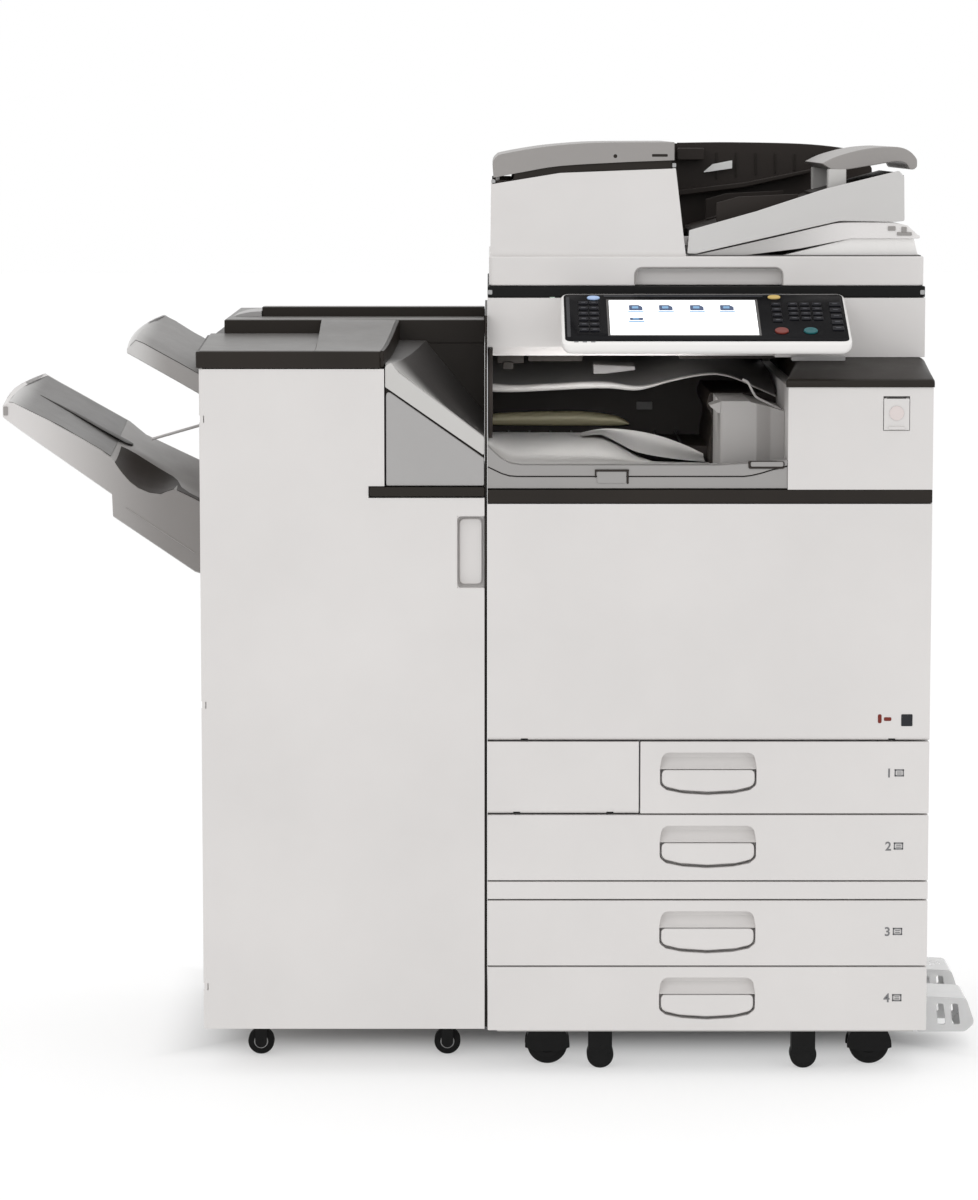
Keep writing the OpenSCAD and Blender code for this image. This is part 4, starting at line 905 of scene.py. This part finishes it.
# ---------------------------------------------------------------- finisher
lid = Part("lid_band", "finisher_top")
lid.prism(rounded([(-393, -302), (-152, -302), (-145, -292), (-145, -70), (-393, -70)], [7, 2, 2, 0, 0]),
    "z", 947.3, 969)
lid.prism([(-300, 960), (-70, 960), (-70, 979.4), (-300, 967.6)], "x", -392.5, -145.3)
lid.done(DARK, 1.6, "root", ["finisher_top"])
pan = Part("lid_plate", "finisher_top")
pan.prism([(-299, 966), (-70, 977), (-70, 981.6), (-299, 970.2)], "x", -388, -236)
pan.box((-368, -13.5), (-69.5, 296), (996, 1000.6))
pan.box((-320, -14), (22, 49), (1010, 1014))
pan.done(LID, 1.0)
rise = smooth([(-299, 970.2), (-240, 974), (-160, 985), (-100, 996), (-68, 1000.6)], 5)
ramp, cheek = Part("lid_ramp", "finisher_top"), Part("lid_cheek", "finisher_top")
for piece, left, right in ((ramp, lambda y: -236, lambda y: -150 + (y + 299) * 0.07),
    (cheek, lambda y: -150 + (y + 299) * 0.07, lambda y: -145.2 + (y + 299) * 0.07)):
    piece.loft([[(left(y), y, z), (right(y), y, z - 0.4), (right(y), y, 949), (left(y), y, 949)] for y,
        z in rise])
ramp.done(LID, 1.0)
cheek.done(DARK, 1.2)
blocks("lid_bars", "finisher_top", DARK, 1.2,
    ((-369, -236.5), (-70, 299), (950, 999.6), 1),
    ((-145, -13), (-70, 299), (968, 999.6), 1),
    ((-236.5, -145), (-66, 299), (950, 996)),
    ((-322, -13), (20, 50), (999, 1013.6), 1),
    ((-389, -368), (-66, 299), (947.3, 976), 2),
    ((-392, -382), (-302.1, -290), (949, 967), 3))
hump = Part("lid_hump", "finisher_top")
hump.prism(smooth([(-369, 996), (-362, 1000.6), (-352, 1004.4), (-338, 1007), (-322.5, 1008)],
    4) + [(-322.5, 996)],
    "y", 16, 120)
hump.done(SILVER, 1.2)
blocks("step_ledge", "finisher_top", DARK, 1.5, ((-165, -13), (-302, -276), (778, 790.4), 3))

rim = Part("bridge_rim", "finisher_bridge")
rim.prism(rounded([(-143.6, 922.4), (-143.6, 950), (-136, 955), (-126, 941), (-13.4, 856), (-13.4, 832)],
    [2, 5, 6, 14, 2, 2]), "y", -300, -284)
rim.done(PALE, 3.2, "root", ["finisher_bridge"])
apron = Part("bridge_apron", "finisher_bridge")
apron.prism(rounded([(-142.6, 792), (-13.6, 792), (-13.6, 828.6), (-142.6, 919)], [3, 3, 3, 5]), "y",
    -299.4, -276)
apron.done(SILVER, 2.6)
core = Part("bridge_core", "finisher_bridge")
core.prism([(-143.5, 791), (-13.5, 791), (-13.5, 850), (-130, 933), (-143.5, 946)], "y", -294, -282)
core.box((-143.5, -13.5), (-280, 292), (791, 826))
core.box((-143.5, -128), (-280, 292), (826, 940))
core.box((-138, -13.5), (-76, -70.5), (826, 968))
core.box((-143.5, -13.5), (150, 292), (826, 966))
core.done(DARK, 0)


def slope_ring(t):
    """One cross line of the hollow that falls towards the main body, t from front to back."""
    y, bow = -290 + 216 * t, 15 * math.sin(math.pi * t)
    start = Vector((-137 + 44 * t, 951 + 21 * t - bow * 0.3))
    end = Vector((-13.6, 857 + 18 * t - bow))
    sag = [Vector((0, 7 * math.sin(math.pi * m / 10) * math.sin(math.pi * t))) for m in range(11)]
    line = [start + (end - start) * (m / 10) - sag[m] for m in range(11)]
    return [(-143.4, y, start.y + 1), *[(p.x, y, p.y) for p in line], (-13.6, y, 828), (-143.4, y, 828)]


# The slope carries the painted shade of HOLLOW, darker from the front towards the back.
slope = Part("bridge_slope", "finisher_bridge").loft([slope_ring(k / 20) for k in range(21)])
slope.done(HOLLOW, 0)

blocks("door_pull", "finisher_door", WHITE, 2,
    ((-46.5, -16), (-289, -284.6), (660, 748), 8), body="finisher_door")
outline = Part("door_pull_edge", "finisher_door")
path = rounded([(-14, 752.4), (-49.6, 752.4), (-49.6, 656), (-14, 656)], [0, 7, 7, 0], 8)
outline.tube([(x, -299.7, z) for x, z in path], 0.7, 8)
outline.rod("y", -300.3, -299, (-58.5, 744), 1.8, 20)
outline.done(WHITE, 0, "finisher_door", slot=GREY)

# ---------------------------------------------------------------- output trays of the finisher
front_top = [(-662, 889), (-653, 893.5), (-585, 860), (-530, 827.5), (-515, 817), (-505, 801),
    (-492, 786), (-481, 777.5),
    (-466, 771), (-451, 769), (-441, 773), (-432, 776), (-405, 763), (-394, 757)]
mid_top = [(-662, 905), (-645, 899), (-585, 868), (-530, 836), (-515, 828), (-497, 821), (-415, 768.5),
    (-394, 757)]
rear_top = [(-662, 916), (-630, 902.4), (-600, 890.5), (-560, 874), (-514, 848), (-493, 830), (-432, 801),
    (-394, 783)]
under = [(-662, 872.5), (-639, 855), (-515.5, 768), (-515, 738.5), (-402, 661.5), (-394, 660)]
SHIFT_FRONT, SHIFT_DEPTH, SCOOP_DEPTH = -170, 280, 108


def tray_point(x, y, z):
    """Bends the tip of the tray back towards its rear corner."""
    t = (y - SHIFT_FRONT) / SHIFT_DEPTH
    return (x + 28 * t**2.5 * max(0, min(1, (-x - 560) / 100)), y, z)


rings = []
for x in [-662, -656, -648, -630, -600, -560, -530, -516, -515, -509, -502, -492, -481, -466, -451, -441,
    -432, -420, -405, -394]:
    ring = []
    for k in range(13):
        t = k / 12
        y = SHIFT_FRONT + SHIFT_DEPTH * t
        f, m, r = level(front_top, x), level(mid_top, x), level(rear_top, x)
        if y < -62:
            s = (y - SHIFT_FRONT) / SCOOP_DEPTH
            z = f + (m - f) * (s**1.8 if x > -520 else s)
        else:
            z = m + (r - m) * (y + 62) / 172
        ring.append(tray_point(x, y, z))
    floor_z = level(under, x)
    rings.append(ring + [tray_point(x, 110, floor_z + 12), tray_point(x, 104, floor_z),
        tray_point(x, -164, floor_z),
        tray_point(x, -170, floor_z + 2)])
# The side of the tray carries the painted shade of its colour (TRAY).
paddle = Part("shift_tray", "lower_tray").loft(rings)
paddle.done(TRAY, 0, "lower_tray", ["lower_tray"])
skin, scoop = [], []
for x in [-655, -650, -640, -615, -585, -560, -530, -518]:
    line = []
    for k in range(9):
        y = -160 + 264 * k / 8
        m, r = level(mid_top, x), level(rear_top, x)
        f = level(front_top, x)
        z = f + (m - f) * (y - SHIFT_FRONT) / SCOOP_DEPTH if y < -62 else m + (r - m) * (y + 62) / 172
        line.append(tray_point(x, y, z + 0.8))
    skin.append(line + [(p[0], p[1], p[2] - 1.2) for p in line[::-1]])
# A thin dark skin over the scoop of the tray: painted shade in the hollow.
for x in [-512, -502, -492, -481, -466, -451, -441, -434, -426, -414, -404, -395]:
    line = []
    for k in range(7):
        y = -166 + (100 if x < -436 else max(34, 100 - 5 * (x + 436))) * k / 6
        f, m = level(front_top, x), level(mid_top, x)
        line.append((x, y, f + (m - f) * ((y - SHIFT_FRONT) / SCOOP_DEPTH) ** 1.8 + 0.7))
    scoop.append(line + [(p[0], p[1], p[2] - 1.4) for p in line[::-1]])
# The top carries a painted highlight at its tip (TRAYTOP).
Part("shift_tray_top", "lower_tray").loft(skin).done(TRAYTOP, 0, "lower_tray")
Part("shift_tray_scoop_painted_shade", "lower_tray").loft(scoop).done(BROWN, 0, "lower_tray")
rings = []
for x, half in ((-626, 1), (-600, 8), (-577, 12), (-540, 16), (-507, 20), (-499, 8)):
    z = level(mid_top, x) + (level(rear_top, x) - level(mid_top, x)) * 0.2 + 1.6
    rings.append([(x, -28 + half * math.cos(a), z + 1.5 * math.sin(a)) for a in degrees(0, 360, 45)])
Part("shift_tray_slot", "lower_tray").loft(rings).done(DARK, 0, "lower_tray")
seam = Part("shift_tray_seam", "lower_tray").tube([(-497, -170, 751), (-450, -170, 719.5),
    (-405, -170, 690)], 0.9, 8)
seam.box((-661, -655), (-171, -166), (876, 888), 1.5)
seam.done(MID, 0, "lower_tray", slot=GREY)

top_front = [(-500, 962), (-487, 975), (-418, 937), (-390, 921)]
top_rear = [(-500, 996), (-488, 992), (-468, 987), (-440, 978), (-427, 970), (-390, 950)]
low_front = [(-500, 956), (-490, 950.5), (-418, 909.5), (-390, 893)]
rings, skin = [], []
for x in [-500, -496, -488, -478, -468, -450, -427, -405, -390]:
    ring = []
    for k in range(9):
        t = k / 8
        y = -100 + 270 * t
        bend = 30 * t**2.5 * max(0, min(1, (-x - 440) / 60))
        z = level(top_front, x) + (level(top_rear, x) - level(top_front, x)) * t**0.7
        ring.append((x + bend, y, z))
    low = level(low_front, x)
    rear_x = ring[-1][0]
    rings.append(ring + [(rear_x, 170, ring[-1][2] - 12), (rear_x, 160, low + 14), (x, -98, low),
        (x, -100, low + 1)])
    line = [(p[0], p[1], p[2] + 0.7) for p in ring]
    skin.append(line + [(p[0], p[1], p[2] - 1.4) for p in line[::-1]])
# The side carries the painted shade of PROOF, the top the painted tip highlight of PROOFTOP.
Part("proof_tray", "upper_tray").loft(rings).done(PROOF, 0, "root", ["upper_tray"])
Part("proof_tray_top", "upper_tray").loft(skin[1:]).done(PROOFTOP, 0)
rings = []
for x, half in ((-468, 1), (-450, 6), (-430, 9), (-412, 3)):
    z = level(top_front, x) + (level(top_rear, x) - level(top_front, x)) * 0.45 + 1.5
    rings.append([(x, 20 + half * math.cos(a), z + 1.2 * math.sin(a)) for a in degrees(0, 360, 45)])
Part("proof_tray_slot", "upper_tray").loft(rings).done(SLATE, 0)

# ---------------------------------------------------------------- castors, feet and skirts
TYRE = [(-11, 7), (-11, 21), (-10, 25.4), (-7.5, 27.3), (7.5, 27.3), (10, 25.4), (11, 21), (11, 7)]
for name in ("wheel_front_left", "wheel_front_right", "wheel_rear_left", "wheel_rear_right"):
    lo, hi = (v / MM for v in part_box(name))
    mid = (lo + hi) / 2
    Part(f"{name}_tyre").lathe("y", (mid.x, mid.z), [(mid.y + t, r) for t, r in TYRE], 48).done(RUBBER, 0,
        name, [name])
    hub = Part(f"{name}_hub")
    for side in (-1, 1):
        hub.lathe("y", (mid.x, mid.z),
            [(mid.y + side * t, r) for t, r in ((10.6, 18), (11.5, 17.4), (11.5, 12), (10.8, 11))])
    for k in range(6):
        a = math.pi * k / 3
        hub.rod("y", mid.y - 11.9, mid.y + 11.9, (mid.x + 14.6 * math.cos(a), mid.z + 14.6 * math.sin(a)),
            1.5, 12)
    hub.done(JET, 0, name)
TYRE_HALF, TYRE_R, SMALL_HALF, SMALL_R = 11, 27.3, 9, 17.9
for name in [f"finisher_wheel_{k}" for k in range(1, 5)]:
    lo, hi = (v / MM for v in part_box(name))
    mid = (lo + hi) / 2
    tyre = [(mid.y + t * SMALL_HALF / TYRE_HALF, r * SMALL_R / TYRE_R) for t, r in TYRE]
    Part(f"{name}_tyre").lathe("y", (mid.x, mid.z), tyre, 40).done(RUBBER, 0, name, [name])
    hub = Part(f"{name}_hub")
    hub.lathe("y", (mid.x, mid.z),
        [(mid.y - 9.6, 5.2), (mid.y - 9.9, 9.2), (mid.y - 8, 10), (mid.y + 9.4, 9.6)])
    hub.rod("y", mid.y - 10.3, mid.y - 9, (mid.x + 6.6, mid.z), 0.9, 12)
    hub.done(HUB, 0, name, slot=GREY)


def hood(name, x, y, z, top, reach, half, body, at):
    """A moulded hood over a castor: two cheeks and a roof."""
    piece = Part(name, at)
    arc = [(x + reach * math.cos(math.radians(d)), z + reach * math.sin(math.radians(d)))
        for d in range(0, 181, 12)]
    cheek = [(x + reach, z - 4)] + [(u, min(v, top)) for u, v in arc] + [(x - reach, z - 4),
        (x - reach * 0.5, z - 9),
        (x + reach * 0.5, z - 9)]
    for side in (-1, 1):
        a, b = sorted((y + side * half, y + side * (half + 3.2)))
        piece.prism(cheek, "y", a, b)
    roof = [p for p in arc if p[1] > z + reach * 0.35]
    piece.prism([(u, min(v, top)) for u, v in roof] + [(u, min(v, top) - 2) for u, v in roof[::-1]], "y",
        y - half, y + half)
    piece.done(JET, 0.6, body)


for side, x in (("left", 72), ("right", 508)):
    hood(f"castor_hood_{side}", x, -222, 27.5, 58.6, 30.2, 12.1, f"castor_{side}", f"caster_fork_{side}")
    hood(f"castor_hood_rear_{side}", x, 235, 27.5, 59.4, 30.2, 12.1, "root", "caster_brackets")
for k, (x, y) in enumerate(((-319, -165), (-64, -165), (-319, 210), (-64, 210)), 1):
    top = Part(f"finisher_castor_plate_{k}", "caster_brackets")
    top.box((x - 16, x + 16), (y - 14, y + 14), (58, 62.4), 2)
    top.lathe("z", (x, y), [(44, 6), (52, 9), (58, 9)], 24)
    top.done(DARK)
feet = Part("levelling_feet", "caster_brackets")
for x in (143, 417):
    feet.lathe("y", (x, 18.2), [(-258.6, 9), (-259.6, 11), (-259.4, 14.5), (-258, 17.4), (-256, 18.1),
        (-240, 18.1), (-236, 17)], 44)
    feet.prism(rounded([(x - 13, 24), (x - 14, 40), (x - 9, 60), (x + 9, 60), (x + 14, 40), (x + 13, 24)],
        4),
        "y", -255, -234)
    for k in range(8):
        a = math.pi * k / 4
        feet.rod("y", -260.4, -256, (x + 12.6 * math.cos(a), 18.2 + 12.6 * math.sin(a)), 1.3, 10)
feet.done(JET, 0.6)

for k, y in enumerate((-130, 60), 1):
    skirt = Part(f"stabiliser_{k}", "stabilisers")
    outer = rounded([(584, 22), (650, 22), (662.8, 34), (651, 69), (584, 72)], [2, 12, 10, 9, 2])
    skirt.prism(outer, "y", y, y + 90)
    skirt.cut(Part("hollow").prism([(588, 20), (638, 20), (657, 39), (648, 62), (588, 68)], "y", y + 4,
        y + 86))
    skirt.cut(*[Part("window").prism(rounded([(x, 32), (x + 11, 32), (x + 7.5, 61), (x - 2.5, 61)], 3),
        "y", y - 2, y + 92)
        for x in (612, 632)])
    skirt.done(SKIRT, 1.2, "root", ["stabilisers"] if k == 1 else ())
    arm = Part(f"stabiliser_arm_{k}", "stabilisers")
    arm.box((500, 592), (y + 20, y + 60), (44, 54), 2)
    arm.box((505, 555), (y + 22, y + 58), (53, 60), 1)
    arm.done(STEEL, 1)

# ---------------------------------------------------------------- sides and back
fixings = Part("cover_screws", "rear_cover")
for x, z in [(x, z) for x in (4, 565) for z in (80, 300, 520, 740, 930)] + [(285, 80), (285, 930),
    (285, 610)]:
    fixings.lathe("y", (x, z), [(341.2, 4.2), (342, 4.2), (341.9, 3), (341.5, 1.2)], 20)
fixings.done(STEEL, 0)
ports = Part("rear_ports", "rear_cover")
ports.box((40, 190), (336, 341.4), (500, 560), 3)
for x, w in ((50, 16), (74, 14), (96, 14), (120, 30), (158, 24)):
    ports.box((x, x + w), (338, 341.9), (520, 534), 1.5)
ports.done(SLATE, 0.5)
inlet = Part("power_inlet", "rear_cover")
inlet.box((497, 531), (334, 341.6), (117, 143), 3)
inlet.cut(Part("socket").prism(rounded([(502, 122), (526, 122), (526, 134), (521, 139), (507, 139),
    (502, 134)], 1.5), "y", 336, 345))
inlet.done(DARK, 0.5)
blades = Part("inlet_blades", "rear_cover")
for x, z in ((507, 127), (514, 132), (521, 127)):
    blades.box((x - 1, x + 1), (332, 340), (z - 3, z + 3))
blades.done(STEEL, 0.2)
blocks("cover_seams", "rear_cover", SLATE, 0,
    ((-8.6, 577.6), (341.3, 342), (603, 605)),
    ((284, 286), (341.3, 342), (62, 603)))
grille = Part("side_louvres", "side_covers")
for k in range(12):
    z = 560 + 12 * k
    grille.prism([(577.6, z), (580.6, z + 1.6), (580.6, z + 4), (577.6, z + 7)], "y", 170, 290)
    grille.box((577.6, 579.4), (166, 170), (z, z + 8))
grille.done(WHITE, 0.5)
blocks("side_seams", "side_covers", SLATE, 0,
    ((577.5, 578.3), (-276, 312), (452, 454)),
    ((577.5, 578.3), (150, 152), (454, 786)))
screws = Part("side_screws", "side_covers")
for y, z in ((-260, 80), (-260, 430), (298, 80), (298, 430), (298, 770), (-20, 80)):
    screws.lathe("x", (y, z), [(577.6, 4.2), (578.9, 4.2), (578.9, 3), (578.3, 1.2)], 20)
for y, z in ((-250, 100), (-250, 500), (-250, 900), (280, 100), (280, 500), (280, 900)):
    screws.lathe("x", (y, z), [(-388.6, 4.2), (-389.8, 4.2), (-389.8, 3), (-389.3, 1.2)], 20)
screws.done(STEEL, 0)
recess = Part("bypass_pull", "bypass_tray")
recess.prism(rect((-40, 60), (440, 456), 7), "x", 588.4, 589.8)
recess.done(MID, 0.8, "bypass_tray")
rear_fin = Part("finisher_rear_detail", "finisher_shell")
rear_fin.box((-380, -160), (297.2, 298.8), (300, 302))
for k in range(10):
    rear_fin.box((-360, -240), (296.8, 299), (760 + 14 * k, 764 + 14 * k), 1)
rear_fin.done(SLATE, 0)
slots = Part("finisher_exit_lips", "finisher_shell")
slots.prism(rounded([(-391.5, 842), (-387, 842), (-387, 848), (-391.5, 848)], 1.5), "y", -146, 166)
slots.prism(rounded([(-391.5, 918), (-387, 918), (-387, 923), (-391.5, 923)], 1.5), "y", -96, 156)
slots.done(SLATE, 0)

# ---------------------------------------------------------------- inside
for k, mat in enumerate((DARK, CYAN, MAGENTA, YELLOW)):
    x = 80 + 118 * k
    bottle = Part(f"toner_bottle_{k + 1}", "toner_bottles")
    profile = [(150, 34), (146, 37.8), (-230, 37.8), (-236, 35), (-262, 35), (-266, 33)]
    bottle.lathe("y", (x, 712), profile, 48)
    bottle.done(KEYCAP, 0, "root", ["toner_bottles"] if k == 0 else (), slot="toner_black")
    cap = Part(f"toner_cap_{k + 1}", "toner_bottles")
    cap.lathe("y", (x, 712), [(-262, 34), (-276, 34), (-279, 31), (-281.6, 22)], 48)
    cap.box((x - 22, x + 22), (-282, -270), (708, 716), 2)
    cap.done(mat, 0, slot="toner_black")
unit = Part("imaging_levers", "imaging_unit")
for k in range(4):
    unit.box((84 + 115 * k, 136 + 115 * k), (-281, -272), (512, 522), 3)
    unit.box((104 + 115 * k, 116 + 115 * k), (-281.6, -272), (522, 556), 3)
unit.done(TEAL)
bulb = Part("lamp_tube", "lamp_carriage").rod("y", -120, 180, (83, 1021), 3.4, 20)
bulb.done(TUBE, 0, "lamp_carriage")

for name, mat, width in (
    ("chassis", STEEL, 0), ("side_covers", WHITE, 0.8), ("rear_cover", WHITE, 0),
    ("front_strip", WHITE, 1.2),
    ("imaging_unit", KEYCAP, 0.8), ("right_box", WHITE, 3.4), ("stapler_unit", STEEL, 0.6),
    ("scanner_body", WHITE, 2.2), ("exposure_glass", CLEAR, 0.3), ("caster_brackets", JET, 0.5),
    ("front_door", WHITE, 1.3),
    ("waste_cover", WHITE, 1.3), *[(f"drawer_{k}_tray", SLATE, 0.5) for k in range(1, 5)],
    ("power_cover", WHITE, 0.6), ("power_switch", DARK, 0.5),
    ("lamp_carriage", SLATE, 0.5), ("mirror_carriage", STEEL, 0.5), ("feeder_body", WHITE, 1.6),
    ("guide_front", BROWN, 0.6),
    ("guide_rear", BROWN, 0.6), ("feed_roller", RUBBER, 0.6), ("bypass_tray", WHITE, 0.8),
    ("caster_fork_left", DARK, 0.4),
    ("caster_fork_right", DARK, 0.4), ("finisher_shell", WHITE, 0.8), ("finisher_door", WHITE, 1.6),
):
    keep(name, mat, width)

# ---------------------------------------------------------------- floor
# The floor glows faintly and evenly, and less within the footprint: a painted shadow under the machine.
# The footprint is (axis, middle, half width) in metres.
SHADOW_FOOTPRINT = (("X", 0.0945, 0.4835), ("Y", 0.116, 0.226))
GLOW_NEAR, GLOW_FAR = 0.03, 0.47
floor_mat = plastic(
    "studio_floor", (0.52, 0.52, 0.52), 0.8, 0.004, 0.02, 60, Emission_Color=(1, 1, 1, 1),
    Emission_Strength=GLOW_FAR,
    Specular_IOR_Level=0.1
)
tree = floor_mat.node_tree
place = node(tree, "ShaderNodeTexCoord")
parts = node(tree, "ShaderNodeSeparateXYZ")
tree.links.new(place.outputs["Object"], parts.inputs["Vector"])
reach = []
for axis, centre, half in SHADOW_FOOTPRINT:
    away = node(tree, "ShaderNodeMath", operation="SUBTRACT")
    away.inputs[1].default_value = centre
    tree.links.new(parts.outputs[axis], away.inputs[0])
    size = node(tree, "ShaderNodeMath", operation="ABSOLUTE")
    tree.links.new(away.outputs[0], size.inputs[0])
    edge = node(tree, "ShaderNodeMath", operation="SUBTRACT")
    edge.inputs[1].default_value = half
    tree.links.new(size.outputs[0], edge.inputs[0])
    reach.append(edge)
farther = node(tree, "ShaderNodeMath", operation="MAXIMUM")
for k, edge in enumerate(reach):
    tree.links.new(edge.outputs[0], farther.inputs[k])
# The glow falls from GLOW_FAR outside to GLOW_NEAR inside the footprint: this paints the shadow under the
# machine.
glow = node(tree, "ShaderNodeMapRange", interpolation_type="SMOOTHSTEP")
for key, value in {"From Min": -0.08, "From Max": 0.10, "To Min": GLOW_NEAR, "To Max": GLOW_FAR}.items():
    glow.inputs[key].default_value = value
tree.links.new(farther.outputs[0], glow.inputs["Value"])
tree.links.new(glow.outputs["Result"], tree.nodes["Principled BSDF"].inputs["Emission Strength"])
ground = bmesh.new()
bmesh.ops.create_grid(ground, x_segments=2, y_segments=2, size=30)
floor_mesh = bpy.data.meshes.new("floor")
ground.to_mesh(floor_mesh)
ground.free()
floor = bpy.data.objects.new("floor", floor_mesh)
floor_mesh.materials.append(floor_mat)
bpy.context.scene.collection.objects.link(floor)
floor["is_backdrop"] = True

lo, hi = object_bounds()
